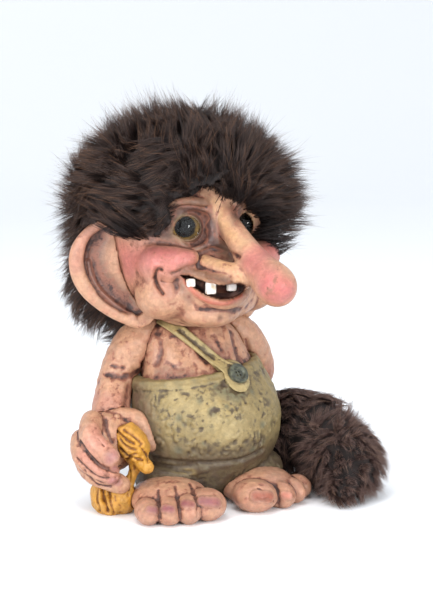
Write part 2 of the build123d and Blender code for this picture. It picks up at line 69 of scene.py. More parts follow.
camera_data = bpy.data.cameras.new("camera")
camera_data.sensor_width = SENSOR
camera_data.lens = SENSOR * FOCAL_PIXELS / PHOTO_SIZE[1]
camera = bpy.data.objects.new("camera", camera_data)
camera.location = CAMERA_PLACE
camera.rotation_euler = (math.radians(CAMERA_TILT), 0, math.radians(CAMERA_TURN))
bpy.context.scene.collection.objects.link(camera)
bpy.context.scene.camera = camera
bpy.context.view_layer.update()
camera_point = np.array(CAMERA_PLACE)


def sight(pixel):
    """Give the way from the camera through one pixel of the photograph."""
    across = pixel[0] - PHOTO_SIZE[0] / 2
    up = PHOTO_SIZE[1] / 2 - pixel[1]
    return (camera.matrix_world.to_3x3() @ Vector((across, up, -FOCAL_PIXELS))).normalized()


print("lens", round(camera_data.lens, 1))

# %% [markdown]
# ## Floor and light
# The figure stands on a white sweep, a floor that curves up into a wall, so that no horizon shows.
# A soft box on either side of the camera gives the glass eyes their highlights, a third one hangs above,
# and a pale sky fills the shadows. The plain colour transform keeps the paint's own colours.

# %% Floor and light
SWEEP_REACH = 3.0
SWEEP_CURVE = 1.2
SWEEP_STEPS = 16
FLOOR_BLOTCHES = 3
FLOOR_COLOUR = (0.93, 0.95, 0.975, 1)
FLOOR_PALE = (0.95, 0.965, 0.985, 1)
FLOOR_ROUGHNESS = 0.8
SKY_COLOUR = (0.93, 0.96, 1.0, 1)
SKY_STRENGTH = 0.98
# A lamp's name, its turn from the camera and its rise, its distance, width, height and power.
LIGHTS = [
    ("left_box", -34, 14, 1.1, 0.24, 0.36, 7.0),
    ("right_box", 34, 14, 1.1, 0.24, 0.36, 6.0),
    ("top_box", -20, 70, 1.3, 0.60, 0.60, 6.0),
]
AIM = Vector((0.0, 0.0, 0.085))


def linear(colour):
    """Turn a colour as seen on a screen into the linear values that shaders use."""
    return tuple((c / 12.92) if c <= 0.04045 else ((c + 0.055) / 1.055) ** 2.4 for c in colour)


bpy.ops.object.select_all(action="DESELECT")
bpy.ops.mesh.primitive_plane_add(size=2 * SWEEP_REACH, location=(0, 0, 0))
floor = bpy.context.object
floor.name = "floor"
bpy.ops.object.mode_set(mode="EDIT")
bpy.ops.mesh.select_all(action="DESELECT")
bpy.ops.object.mode_set(mode="OBJECT")
for edge in floor.data.edges:
    ends = [floor.data.vertices[i].co for i in edge.vertices]
    edge.select = all(end.y > 0 for end in ends)
bpy.ops.object.mode_set(mode="EDIT")
bpy.ops.mesh.select_mode(type="EDGE")
bpy.ops.mesh.extrude_region_move(TRANSFORM_OT_translate={"value": (0, 0, SWEEP_REACH)})
bpy.ops.object.mode_set(mode="OBJECT")
sweep = floor.modifiers.new("sweep", "BEVEL")
sweep.width = SWEEP_CURVE
sweep.segments = SWEEP_STEPS
sweep.limit_method = "ANGLE"
bpy.ops.object.modifier_apply(modifier="sweep")
bpy.ops.object.shade_smooth()

for name, turn, rise, distance, width, height, power in LIGHTS:
    lamp_data = bpy.data.lights.new(name, "AREA")
    lamp_data.shape = "RECTANGLE"
    lamp_data.size = width
    lamp_data.size_y = height
    lamp_data.energy = power
    lamp = bpy.data.objects.new(name, lamp_data)
    way = Vector((0, -1, 0))
    way.rotate(Matrix.Rotation(math.radians(-rise), 3, "X"))
    way.rotate(Matrix.Rotation(math.radians(turn + CAMERA_TURN), 3, "Z"))
    lamp.location = AIM + way * distance
    lamp.rotation_euler = way.to_track_quat("Z", "Y").to_euler()
    bpy.context.scene.collection.objects.link(lamp)

world = bpy.data.worlds.new("sky")
bpy.context.scene.world = world
world.use_nodes = True
sky = world.node_tree.nodes["Background"]
sky.inputs["Color"].default_value = SKY_COLOUR
sky.inputs["Strength"].default_value = SKY_STRENGTH
bpy.context.scene.view_settings.view_transform = "Standard"
print("lights", len(LIGHTS))

# %% [markdown]
# ## Shader sums written as sums
# A material is a net of nodes, which is slow to read as calls. This small class wraps one socket, so
# that mask * 2 - 1 adds the Math nodes for it, and node() adds any other kind of node.

# %% Sockets that can be added up


class Wire:
    """One output socket of a material, with the sums that can be done on it."""

    def __init__(self, tree, socket):
        self.tree = tree
        self.socket = socket

    def node(self, kind, settings, values, output=0):
        """Add a node: its settings first, then the values or links of its sockets."""
        node = self.tree.nodes.new(kind)
        for name, value in settings.items():
            if name == "stops":
                for place, (position, colour) in enumerate(value):
                    stops = node.color_ramp.elements
                    stop = stops[place] if place < len(stops) else stops.new(position)
                    stop.position = position
                    stop.color = tuple(colour) + (1,)
            else:
                setattr(node, name, value)
        for name, value in values.items():
            if isinstance(value, Wire):
                self.tree.links.new(value.socket, node.inputs[name])
            else:
                node.inputs[name].default_value = value
        return Wire(self.tree, node.outputs[output])

    def maths(self, operation, first, second):
        return self.node("ShaderNodeMath", {"operation": operation}, {0: first, 1: second})

    def __add__(self, other):
        return self.maths("ADD", self, other)

    def __radd__(self, other):
        return self.maths("ADD", other, self)

    def __sub__(self, other):
        return self.maths("SUBTRACT", self, other)

    def __rsub__(self, other):
        return self.maths("SUBTRACT", other, self)

    def __mul__(self, other):
        return self.maths("MULTIPLY", self, other)

    def __rmul__(self, other):
        return self.maths("MULTIPLY", other, self)

    def ramp(self, start, end):
        """Run smoothly from 0 at the start value to 1 at the end value."""
        values = {"Value": self, "From Min": start, "From Max": end}
        return self.node("ShaderNodeMapRange", {"interpolation_type": "SMOOTHSTEP"}, values)

    def mix(self, first, second):
        """Blend two colours by this value."""
        values = {"Factor": self, 6: first, 7: second}
        return self.node("ShaderNodeMix", {"data_type": "RGBA"}, values, 2)


def colour(red, green, blue):
    """Give a screen colour, 0 to 255, as the four linear values of a socket."""
    return linear((red / 255, green / 255, blue / 255)) + (1,)


def new_material(name):
    """Start a material; give it, a wire to build from, and its shader."""
    material = bpy.data.materials.new(name)
    material.use_nodes = True
    tree = material.node_tree
    place = tree.nodes.new("ShaderNodeTexCoord")
    return material, Wire(tree, place.outputs["Object"]), tree.nodes["Principled BSDF"]


def noise(place, scale, detail=3.0, roughness=0.5, output=0):
    """Soft random blotches, with a scale in blotches to the metre."""
    values = {"Vector": place, "Scale": scale, "Detail": detail, "Roughness": roughness}
    return place.node("ShaderNodeTexNoise", {}, values, output)


def bump(place, height, strength, distance):
    """Small relief from a height, with its real depth in metres."""
    return place.node("ShaderNodeBump", {}, {"Height": height, "Strength": strength, "Distance": distance})


def plug(shader, name, value):
    """Set a socket of the shader, or link a wire to it."""
    if isinstance(value, Wire):
        value.tree.links.new(value.socket, shader.inputs[name])
    else:
        shader.inputs[name].default_value = value


floor_material, floor_place, floor_shader = new_material("white_sweep")
plug(floor_shader, "Base Color", noise(floor_place, FLOOR_BLOTCHES).mix(FLOOR_COLOUR, FLOOR_PALE))
plug(floor_shader, "Roughness", FLOOR_ROUGHNESS)
floor.data.materials.append(floor_material)
print("shader helpers ready")

# %% [markdown]
# ## Paint on the cast pieces
# The caster paints flat colours first, and then brushes a dark stain over them and wipes it off, so that
# it stays in hollows and pores. The flat colours are laid on the points below as an attribute called
# paint. Where the stain gathers, with painted shade in broad hollows and where pieces meet, is an attribute
# called stain_and_shade. The shader adds what a brush leaves: blotches, specks in the pores, and streaks
# that are drier or wetter.

# %% Painted resin
BLOTCHES = 95
SMEARS = 230
CLOUDS = 420
GRAINS = 1500
RESIN_SPECULAR = 0.42
RESIN_COAT = 0.15
COAT_ROUGHNESS = 0.35
RESIN_BUMP = 0.7
RELIEF_DEPTH = 0.0007


def resin(name, stain_and_shade_colour, wash, second, shine, pore_scale, wetness):
    """Make painted resin: thin stain and painted shade leave the wash colour, and thick ones the deep stain
    colour.
    """
    material, place, shader = new_material(name)
    paint = place.node("ShaderNodeAttribute", {"attribute_name": "paint"}, {}, "Color")
    stain_and_shade = place.node("ShaderNodeAttribute", {"attribute_name": "stain_and_shade"}, {}, "Fac")
    blotches = noise(place, BLOTCHES, 4, 0.6)
    smears = noise(place, SMEARS, 5, 0.68)
    cloudy = noise(place, CLOUDS, 4, 0.65)
    specks = noise(place, pore_scale, 5, 0.72)
    light = cloudy.ramp(0.35, 0.75)
    values = {"Value": 0.80 + 0.30 * light, "Saturation": 0.92 + 0.2 * blotches, "Color": paint}
    tint = place.node("ShaderNodeHueSaturation", {}, values)
    patched = (smears.ramp(0.46, 0.66) * 0.42).mix(tint, second)
    pores = specks.ramp(0.53, 0.70) * (0.35 + blotches.ramp(0.40, 0.62))
    worn_off = smears.ramp(0.45, 0.68) * (0.3 + 0.7 * blotches.ramp(0.40, 0.60))
    gathered = stain_and_shade * (0.6 + 0.6 * cloudy) + pores * 0.40 + worn_off * wetness
    deep_stain_and_shade = gathered.ramp(0.40, 1.30)
    washed_and_shaded = gathered.ramp(0.02, 0.60).mix(patched, wash)
    plug(shader, "Base Color", deep_stain_and_shade.mix(washed_and_shaded, stain_and_shade_colour))
    plug(shader, "Roughness", shine + 0.14 * cloudy + 0.10 * deep_stain_and_shade)
    plug(shader, "Specular IOR Level", RESIN_SPECULAR)
    plug(shader, "Coat Weight", RESIN_COAT)
    plug(shader, "Coat Roughness", COAT_ROUGHNESS)
    grain = noise(place, GRAINS, 4, 0.6)
    relief = cloudy * 0.7 + smears * 0.6 + grain * 0.25 - specks.ramp(0.55, 0.75) * 0.35
    plug(shader, "Normal", bump(place, relief, RESIN_BUMP, RELIEF_DEPTH))
    return material


# The colour of thick stain and deep painted shade, the thin wash and the second paint of each finish.
SKIN_STAINS = (colour(62, 40, 36), colour(136, 88, 70), colour(166, 106, 86))
CLOTH_STAINS = (colour(66, 52, 38), colour(94, 80, 56), colour(112, 104, 74))
STICK_STAINS = (colour(92, 54, 22), colour(150, 98, 36), colour(174, 118, 44))
skin_finish = resin("painted_skin", *SKIN_STAINS, shine=0.36, pore_scale=900, wetness=0.85)
cloth_finish = resin("painted_cloth", *CLOTH_STAINS, shine=0.50, pore_scale=750, wetness=0.70)
stick_finish = resin("painted_stick", *STICK_STAINS, shine=0.44, pore_scale=800, wetness=0.45)
print("paint", skin_finish.name, cloth_finish.name, stick_finish.name)

# %% [markdown]
# ## From a frame piece to clay
# The frame's pieces have the right outer forms but smooth, plain faces. Each one is copied, welded, and
# turned into an even skin of small squares by a voxel remesh, as digital clay starts. Lumps can be joined
# before the remesh, which fuses them in. A cloud displacement then takes away the machine smoothness.

# %% Copies, lumps and remeshing
WELD = 0.02 * MM


def only(*pieces):
    """Leave just these pieces selected, with the first one active."""
    bpy.ops.object.select_all(action="DESELECT")
    for piece in pieces:
        piece.select_set(True)
    bpy.context.view_layer.objects.active = pieces[0]


def cast(name, node):
    """Copy a frame piece and weld its loose triangles."""
    piece = bpy.data.objects.new(name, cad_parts[node].data.copy())
    bpy.context.scene.collection.objects.link(piece)
    piece.data.materials.clear()
    only(piece)
    bpy.ops.object.mode_set(mode="EDIT")
    bpy.ops.mesh.select_all(action="SELECT")
    bpy.ops.mesh.remove_doubles(threshold=WELD)
    bpy.ops.object.mode_set(mode="OBJECT")
    return piece


def settle(piece):
    """Put a piece's place, turn and size into its mesh."""
    only(piece)
    bpy.ops.object.transform_apply(location=True, rotation=True, scale=True)
    return piece


def ball(centre, half_sizes):
    """Add a round lump of clay."""
    bpy.ops.object.select_all(action="DESELECT")
    bpy.ops.mesh.primitive_uv_sphere_add(segments=32, ring_count=20, radius=1, location=centre)
    lump = bpy.context.object
    lump.scale = half_sizes
    return settle(lump)


def applied(piece, kind, **settings):
    """Add a modifier with these settings and apply it."""
    only(piece)
    modifier = piece.modifiers.new(kind.lower(), kind)
    for name, value in settings.items():
        setattr(modifier, name, value)
    bpy.ops.object.modifier_apply(modifier=modifier.name)
    return piece


def rubbed(piece, rounds):
    """Rub a piece smooth, again and again."""
    return applied(piece, "SMOOTH", factor=0.5, iterations=rounds)


def remeshed(piece, voxel, rounds):
    """Turn a piece into an even skin of small squares, and rub it smooth."""
    applied(piece, "REMESH", mode="VOXEL", voxel_size=voxel)
    return rubbed(piece, rounds)


def roughened(piece, size, strength):
    """Press an uneven surface into a piece: the size of the dents, and their depth."""
    texture = bpy.data.textures.new("dents", "CLOUDS")
    texture.noise_scale = size
    applied(piece, "DISPLACE", texture=texture, texture_coords="LOCAL", strength=strength, mid_level=0.5)
    return piece


print("clay helpers ready")

# %% [markdown]
# ## Sculpting and painting by strokes
# A sculptor draws a line with a tool and the clay beside it sinks or rises, and a painter draws the same
# line with a brush. Both are one idea here: how near each point lies to a path on the surface. The path
# is drawn on the photograph as pixels and carried to the surface along the lines of sight.

# %% The clay class
LIP_OUTSIDE = 2.4
LIP_INSIDE = 1.3
FOLD_LIPS = 0.25
NAIL_GROOVE = -0.5 * MM
NAIL_EDGE = 0.3
RELAX_SHARE = 0.6
LEAST_STAIN_AND_SHADE = -0.30
MOST_STAIN_AND_SHADE = 0.62
STAIN_AND_SHADE_RANGE = (-0.4, 1.0)


def curve_through(points, steps=12):
    """Run a smooth line through a few given points."""
    ends = [points[0]] + list(points) + [points[-1]]
    line = []
    for i in range(1, len(ends) - 2):
        before, start, end, after = (np.array(ends[i + k], float) for k in (-1, 0, 1, 2))
        for step in range(steps):
            t = step / steps
            line.append(
                0.5 * (2 * start + (end - before) * t + (2 * before - 5 * start + 4 * end - after) * t**2
                       + (3 * start - before - 3 * end + after) * t**3)
            )
    line.append(np.array(points[-1], float))
    return np.array(line)


def surface_of(*meshes):
    """Give the surface of some meshes, to ask what lies nearest and what a ray meets."""
    shape = bmesh.new()
    for mesh in meshes:
        shape.from_mesh(mesh)
    surface = BVHTree.FromBMesh(shape)
    shape.free()
    return surface


def painted(piece, material):
    """Give a piece one material."""
    piece.data.materials.clear()
    piece.data.materials.append(material)


def settled(piece, material, slot_name, body, *nodes):
    """Give a piece its finish and its body, and hide the frame pieces it stands for; slot_name is not used.
    """
    painted(piece, material)
    only(piece)
    bpy.ops.object.shade_smooth()
    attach(piece, body)
    if nodes:
        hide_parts(*nodes)
    print(piece.name, len(piece.data.polygons), "faces")


class Clay:
    """A piece's points as arrays: strokes move them, dabs paint them, and stain and painted shade fill
    hollows.
    """

    def __init__(self, piece, ground):
        self.piece = piece
        self.paint = np.tile(np.array(ground), (len(piece.data.vertices), 1))
        self.stain_and_shade = np.zeros(len(piece.data.vertices))
        self.look()

    def read(self, what):
        """Read one vector of each point of the piece."""
        vertices = self.piece.data.vertices
        values = np.empty(len(vertices) * 3)
        vertices.foreach_get(what, values)
        return values.reshape(-1, 3)

    def look(self):
        """Read the piece's points, and find its normals and its surface again."""
        self.points = self.read("co")
        self.ways = self.read("normal")
        self.surface = surface_of(self.piece.data)

    def write(self):
        """Write the points back to the piece."""
        self.piece.data.vertices.foreach_set("co", self.points.ravel())
        self.piece.data.update()

    def rub(self, rounds):
        """Write the points back and rub the surface smooth."""
        self.write()
        if rounds:
            rubbed(self.piece, rounds)
        self.look()

    def seen(self, pixels):
        """Carry a line drawn on the photograph to the surface."""
        line = curve_through(pixels) if len(pixels) > 1 else np.array(pixels, float)
        reach = float(np.linalg.norm(self.points.mean(axis=0) - camera_point))
        path = []
        for pixel in line:
            way = sight(pixel)
            place = self.surface.ray_cast(Vector(CAMERA_PLACE), way)[0]
            if place is None:
                place = self.surface.find_nearest(Vector(CAMERA_PLACE) + way * reach)[0]
            path.append(place)
        return np.array(path)

    def snapped(self, path):
        """Bring the points of a path to the surface."""
        return np.array([self.surface.find_nearest(Vector(place))[0] for place in path])

    def near(self, path, width):
        """How near each point is to a path: 1 on it, smoothly to 0 at the width."""
        least = np.full(len(self.points), np.inf)
        low = path.min(axis=0) - width
        high = path.max(axis=0) + width
        close = np.flatnonzero(((self.points > low) & (self.points < high)).all(axis=1))
        least_here = least[close]
        for place in path:
            gap = self.points[close] - place
            np.minimum(least_here, (gap * gap).sum(axis=1), out=least_here)
        least[close] = least_here
        return np.clip(1 - least / width**2, 0, 1) ** 2

    def stroke(self, path, depth, width, lips=0.0):
        """Raise the surface along a path, or press it in, with rolled lips beside a pressed line."""
        amount = depth * self.near(path, width)
        if lips:
            rolls = self.near(path, LIP_OUTSIDE * width) - self.near(path, LIP_INSIDE * width)
            amount -= depth * lips * rolls
        self.points += self.ways * amount[:, None]

    def fold(self, path, depth, width, lips=FOLD_LIPS):
        """Stroke along a path, in millimetres, with lips only where it is pressed in."""
        self.stroke(path, depth * MM, width * MM, lips if depth < 0 else 0)

    def fold_seen(self, pixels, depth, width, lips=FOLD_LIPS):
        """Make a fold along a line drawn on the photograph, and give its path."""
        path = self.seen(pixels)
        self.fold(path, depth, width, lips)
        return path

    def nail(self, path, width, height):
        """Raise a flat nail with a soft edge in a groove; its width and height are in millimetres."""
        self.stroke(path, NAIL_GROOVE, width * 1.25 * MM)
        rise = np.clip(self.near(path, width * MM) / NAIL_EDGE, 0, 1)
        self.points += self.ways * (height * MM * rise)[:, None]

    def dab(self, path, paint, width, strength=1.0):
        """Lay paint along a path, fading out to the width."""
        amount = (strength * self.near(path, width))[:, None]
        self.paint += (np.array(paint) - self.paint) * amount

    def brush(self, pixels, paint, width, strength):
        """Lay paint along a line drawn on the photograph; the width is in millimetres."""
        self.dab(self.seen(pixels), paint, width * MM, strength)

    def stain_and_shade_along(self, path, width, strength):
        """Let stain stay along a path; some calls lay painted shade with it."""
        self.stain_and_shade += strength * self.near(path, width)

    def relaxed(self, rounds, share=RELAX_SHARE):
        """Give the points after each has moved towards the middle of its neighbours, again and again."""
        mesh = self.piece.data
        edges = np.empty(len(mesh.edges) * 2, int)
        mesh.edges.foreach_get("vertices", edges)
        one, other = edges.reshape(-1, 2).T
        count = len(self.points)
        met = np.bincount(one, minlength=count) + np.bincount(other, minlength=count)
        smooth = self.points.copy()
        for _ in range(rounds):
            total = np.empty_like(smooth)
            for axis in range(3):
                total[:, axis] = np.bincount(one, smooth[other, axis], count)
                total[:, axis] += np.bincount(other, smooth[one, axis], count)
            smooth = (1 - share) * smooth + share * total / np.maximum(met, 1)[:, None]
        return smooth

    def soften(self, path, width, rounds):
        """Rub the surface smooth along a path only."""
        self.points = self.relaxed(rounds, RELAX_SHARE * self.near(path, width)[:, None])

    def stain_and_shade_in_hollows(self, *sizes):
        """Let the stain gather, and painted shade with it, where the surface lies under a copy that is rubbed
        smooth.

        Each size of hollow is the rounds of rubbing and the depth in millimetres that counts as full.
        """
        for rounds, depth in sizes:
            sunk = ((self.relaxed(rounds) - self.points) * self.ways).sum(axis=1)
            self.stain_and_shade += np.clip(sunk / (depth * MM), LEAST_STAIN_AND_SHADE, MOST_STAIN_AND_SHADE)

    def shade_beside(self, others, reach, strength):
        """Lay painted shade where the piece meets its neighbours, in the same attribute as the stain."""
        for other in others:
            tree = surface_of(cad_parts[other].data)
            low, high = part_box(other)
            inside = (self.points > np.array(low) - reach) & (self.points < np.array(high) + reach)
            for i in np.flatnonzero(inside.all(axis=1)):
                found = tree.find_nearest(Vector(self.points[i]), reach)
                if found[0] is not None:
                    self.stain_and_shade[i] += strength * (1 - found[3] / reach)

    def finish(self, material, node, slot_name):
        """Write points, paint, stain and painted shade to the piece, and place it on the figure."""
        self.write()
        mesh = self.piece.data
        paint = mesh.attributes.new("paint", "FLOAT_COLOR", "POINT")
        paint.data.foreach_set("color", np.clip(self.paint, 0, 1).ravel())
        stain_and_shade = mesh.attributes.new("stain_and_shade", "FLOAT", "POINT")
        stain_and_shade.data.foreach_set("value", np.clip(self.stain_and_shade, *STAIN_AND_SHADE_RANGE))
        settled(self.piece, material, slot_name, "figure", node)


def rough_cast(name, node, voxel, rounds, dents, depth, ground):
    """Make a frame piece into clay with an uneven skin; voxel, dents and their depth in millimetres."""
    piece = remeshed(cast(name, node), voxel * MM, rounds)
    return Clay(roughened(piece, dents * MM, depth * MM), ground)


print("clay ready")

# %% [markdown]
# ## Paints
# The skin is ochre with warm salmon parts; cheeks and nose tip are pink; round the eyes and in the folds
# there is a purple brown, partly painted shade. The trousers are a dull olive and the stick a yellow ochre.

# %% The paint box
OCHRE = colour(184, 140, 112)
CREAM = colour(208, 164, 122)
SALMON = colour(172, 116, 102)
PINK = colour(184, 110, 104)
ROSE = colour(184, 102, 98)
# Purple brown: paint of sockets and folds, and painted shade there.
PLUM = colour(84, 58, 54)
LID = colour(118, 98, 64)
LIP = colour(178, 98, 80)
LIP_BROWN = colour(108, 74, 54)
# Near black: the mouth's dark paint, and painted shade in the eye sockets and beside the nose.
DARK_AND_SHADE = colour(44, 26, 24)
NAIL = colour(150, 98, 98)
RED_NAIL = colour(140, 82, 86)
BROWN_NAIL = colour(150, 82, 62)
PALE_NAIL = colour(190, 120, 100)
EAR_RIDGE_BROWN = colour(132, 92, 82)
WRIST_PINK = colour(200, 136, 120)
FINGER_PINK = colour(184, 122, 110)
CLOTH = colour(140, 122, 82)
CLOTH_PALE_AND_HIGHLIGHT = colour(168, 148, 102)
CLOTH_GREY = colour(94, 96, 78)
# The cloth's dark paint, laid with painted shade under the belly.
CLOTH_DARK_AND_SHADE = colour(72, 56, 46)
STICK = colour(192, 140, 62)
print("paint box ready")

# %% [markdown]
# ## Head
# The head is one casting with the nose, lips and lids. The frame's head is copied, a ball of clay is put
# round each eye for the lids, and the eye openings are pressed into those balls with the outline that the
# photograph shows. Folds, lips, the hooked cheek crease and the brows are strokes.

# %% Head: clay and lids
HEAD_ORIGIN = Vector((-8.7, 8.3, 0)) * MM
HEAD_TURN = math.radians(10)
HEAD_FRAME = Matrix.Translation(HEAD_ORIGIN) @ Matrix.Rotation(HEAD_TURN, 4, "Z")
EYES = {"right": Vector((-14.0, -19.0, 117.8)) * MM, "left": Vector((16.2, -19.0, 117.8)) * MM}
GLASS_RADIUS = 6.0 * MM
LID_RADIUS = 7.3 * MM
LID_SIZES = (LID_RADIUS, LID_RADIUS * 1.02, LID_RADIUS)
HEAD_VOXEL = 0.55 * MM


def from_head(place):
    """Carry a place in the head's own frame to the figure's frame."""
    return HEAD_FRAME @ Vector(place)


def across_head(path):
    """Mirror a path about the head's middle."""
    turned = [HEAD_FRAME.inverted() @ Vector(place) for place in path]
    return np.array([HEAD_FRAME @ Vector((-place.x, place.y, place.z)) for place in turned])


eye_places = {side: from_head(place) for side, place in EYES.items()}
head_piece = cast("troll_head", "head")
lids = [ball(place, LID_SIZES) for place in eye_places.values()]
only(head_piece, *lids)
bpy.ops.object.join()
remeshed(head_piece, HEAD_VOXEL, 7)
head = Clay(head_piece, OCHRE)
print("head", len(head.points), "points")

# %% [markdown]
# The strokes that shape the face. Each one is a name, pixels of the photograph, the depth in millimetres,
# less than zero where it presses in, and the width. Those named in BOTH_SIDES are repeated on the far
# side. Edges of the frame's own lumps are rubbed soft first, by paths with a width and rounds of rubbing.

# %% Head: folds and creases
FOLDS = {
    "cheek": ([(150, 254), (170, 257), (188, 258)], 0.8, 8.0),
    "cheek_tip": ([(184, 258), (194, 256)], 1.0, 4.5),
    "brow": ([(160, 212), (172, 204), (188, 201), (204, 204)], 0.8, 3.0),
    "brow_left": ([(236, 203), (246, 202)], 0.3, 2.4),
    "mouth_corner_fold": ([(166, 274), (170, 284), (172, 296)], 0.9, 3.6),
    "jowl": ([(150, 300), (166, 308)], 0.7, 8.0),
    "nose_bulb": ([(274, 286), (280, 288)], 0.5, 7.5),
    "nose_side": ([(240, 262), (256, 272)], 0.5, 5.0),
    "nose_fill": ([(210, 226), (217, 240), (227, 250)], 1.2, 4.0),
    "lower_lip": ([(188, 284), (198, 295), (212, 302), (228, 302), (241, 295)], 0.55, 1.9),
    "upper_lip": ([(186, 271), (202, 275), (218, 278), (234, 280)], 0.7, 2.4),
    "chin": ([(196, 317), (222, 319)], 0.8, 7.0),
}
CREASES = {
    "hook": ([(162, 270), (158, 269), (155, 273), (155, 280), (158, 287), (163, 294)], -1.9, 1.4),
    "under_cheek": ([(166, 272), (174, 273), (182, 270), (190, 266), (197, 261), (199, 254)], -1.0, 1.7),
    "over_cheek": ([(160, 243), (172, 245), (186, 248), (198, 250)], -0.3, 2.2),
    "smile_fold": ([(179, 276), (176, 284), (174, 294), (172, 302)], -0.35, 3.0),
    "under_lip": ([(188, 298), (199, 308), (213, 313), (228, 313), (240, 310)], -0.5, 2.4),
    "lip_line": ([(183, 280), (192, 292), (204, 302)], -0.25, 1.0),
    "brow_under": ([(170, 208), (182, 206), (196, 206), (206, 207)], -0.9, 1.3),
    "brow_over": ([(176, 198), (190, 195), (202, 197)], -0.5, 1.5),
    "nose_root": ([(206, 214), (208, 224), (211, 234)], -0.35, 2.2),
    "wing_over": ([(199, 254), (212, 249), (226, 251), (240, 257)], -0.8, 1.8),
    "wing_under": ([(198, 266), (212, 271), (226, 274), (240, 281)], -0.8, 1.6),
    "nostril": ([(229, 279), (231, 282)], -1.3, 1.9),
    "under_eye": ([(176, 243), (188, 247), (200, 243), (206, 236)], -0.4, 1.4),
    "crow_foot": ([(166, 228), (158, 226), (150, 228)], -0.4, 1.1),
    "mole": ([(219, 318), (224, 319)], -0.7, 1.7),
    "chin_line": ([(152, 322), (170, 321), (182, 324)], -0.6, 1.8),
}
BOTH_SIDES = ("cheek", "hook", "under_cheek", "smile_fold", "jowl", "mouth_corner_fold")

SOFTENED = [
    ([(132, 258), (146, 256), (160, 256)], 9, 60),
    ([(150, 250), (166, 250)], 6, 40),
    ([(122, 268), (134, 276), (146, 282)], 8, 80),
    ([(137, 254), (139, 264), (144, 272)], 7, 120),
    ([(146, 296), (160, 306), (176, 312)], 8, 60),
    ([(206, 218), (212, 234), (220, 246)], 5, 60),
    ([(226, 250), (240, 258), (256, 266)], 6, 40),
    ([(206, 196), (222, 198), (244, 200)], 6, 60),
]
for pixels, width, rounds in SOFTENED:
    head.soften(head.seen(pixels), width * MM, rounds)
    head.rub(0)
for name, (pixels, depth, width) in [*FOLDS.items(), *CREASES.items()]:
    path = head.fold_seen(pixels, depth, width)
    if name in BOTH_SIDES:
        head.fold(head.snapped(across_head(path)), depth, width)
head.rub(1)
print("strokes", len(FOLDS) + len(CREASES))

# %% [markdown]
# An opening is pressed in, not cut: the points that the camera sees inside its outline go back along the
# line of sight to one depth. The lids' edges are then raised along the same outlines.

# %% Head: eye openings
OPENINGS = {
    "right": [(173, 233), (176, 223), (183, 217), (192, 217), (199, 223), (200, 231), (194, 238), (184, 239)],
    "left": [(237, 226), (239, 217), (245, 213), (251, 218), (253, 226), (250, 233), (244, 236), (239, 232)],
}
MOUTH_OPENING = [
    (181, 275), (190, 276), (200, 280), (211, 284), (222, 285), (232, 284), (240, 283), (246, 286),
    (243, 292), (235, 297), (224, 299), (212, 297), (201, 292), (190, 284),
]
PIT_DEPTH = 3.4 * MM
PIT_REACH = LID_RADIUS * 1.5
LID_RIM = LID_RADIUS * 1.04
LID_RISE = 0.5 * MM
LID_EDGE = 1.5 * MM
GLASS_ROOM = GLASS_RADIUS * 1.02
MOUTH_PLACE = Vector((-6.0, -33.0, 93.0)) * MM
MOUTH_REACH = 22 * MM
MOUTH_DEPTH = 5.0 * MM
MOUTH_STAIN_AND_SHADE = 0.6


def closed_curve(pixels, steps):
    """Run a smooth closed line through a few pixels."""
    return curve_through(pixels + pixels[:1], steps)[:-1]


def inside_outline(places, outline):
    """Tell which flat places lie inside a closed outline, by counting crossings."""
    inside = np.zeros(len(places), bool)
    x, y = places.T
    for (x1, y1), (x2, y2) in zip(outline, np.roll(outline, -1, axis=0)):
        crosses = (y1 > y) != (y2 > y)
        with np.errstate(divide="ignore", invalid="ignore"):
            inside ^= crosses & (x < (x2 - x1) * (y - y1) / (y2 - y1) + x1)
    return inside


def on_photo(points):
    """Give the photograph's pixel of each point."""
    local = (points - camera_point) @ np.array(camera.matrix_world.to_3x3())
    across = PHOTO_SIZE[0] / 2 + FOCAL_PIXELS * local[:, 0] / -local[:, 2]
    down = PHOTO_SIZE[1] / 2 - FOCAL_PIXELS * local[:, 1] / -local[:, 2]
    return np.stack([across, down], axis=1)


def press_through(clay, outline, centre, reach, pit_depth):
    """Press all that lies inside an outline back along the line of sight, to one depth past a centre."""
    gap = clay.points - centre
    away = centre - camera_point
    away /= np.linalg.norm(away)
    behind = gap @ away
    pressed = (np.linalg.norm(gap, axis=1) < reach) & (behind < pit_depth)
    pressed &= inside_outline(on_photo(clay.points), outline)
    clay.points[pressed] += (pit_depth - behind[pressed])[:, None] * away
    return pressed


def on_ball(outline, centre, radius):
    """Carry an outline on the photograph to the front of a ball."""
    rim = []
    for pixel in outline:
        way = np.array(sight(pixel))
        start = camera_point - centre
        side_step = start - (start @ way) * way
        depth = math.sqrt(max(radius**2 - side_step @ side_step, 0))
        rim.append(centre + side_step - way * depth)
    return np.array(rim)


lid_paths = {}
for side, pixels in OPENINGS.items():
    centre = np.array(eye_places[side])
    outline = closed_curve(pixels, 8)
    press_through(head, outline, centre, PIT_REACH, PIT_DEPTH)
    lid_paths[side] = on_ball(outline, centre, LID_RIM)
mouth_centre = np.array(from_head(MOUTH_PLACE))
in_mouth = press_through(head, closed_curve(MOUTH_OPENING, 6), mouth_centre, MOUTH_REACH, MOUTH_DEPTH)
# The pressed mouth is painted near black and stained: its dark paint with painted shade.
head.paint[in_mouth] = DARK_AND_SHADE
head.stain_and_shade[in_mouth] = MOUTH_STAIN_AND_SHADE
print("mouth", int(in_mouth.sum()), "points pressed")
head.rub(0)
for side, rim in lid_paths.items():
    inside = np.linalg.norm(head.points - np.array(eye_places[side]), axis=1) <= GLASS_ROOM
    before = head.points[inside]
    head.stroke(rim, LID_RISE, LID_EDGE)
    head.points[inside] = before
head.rub(1)
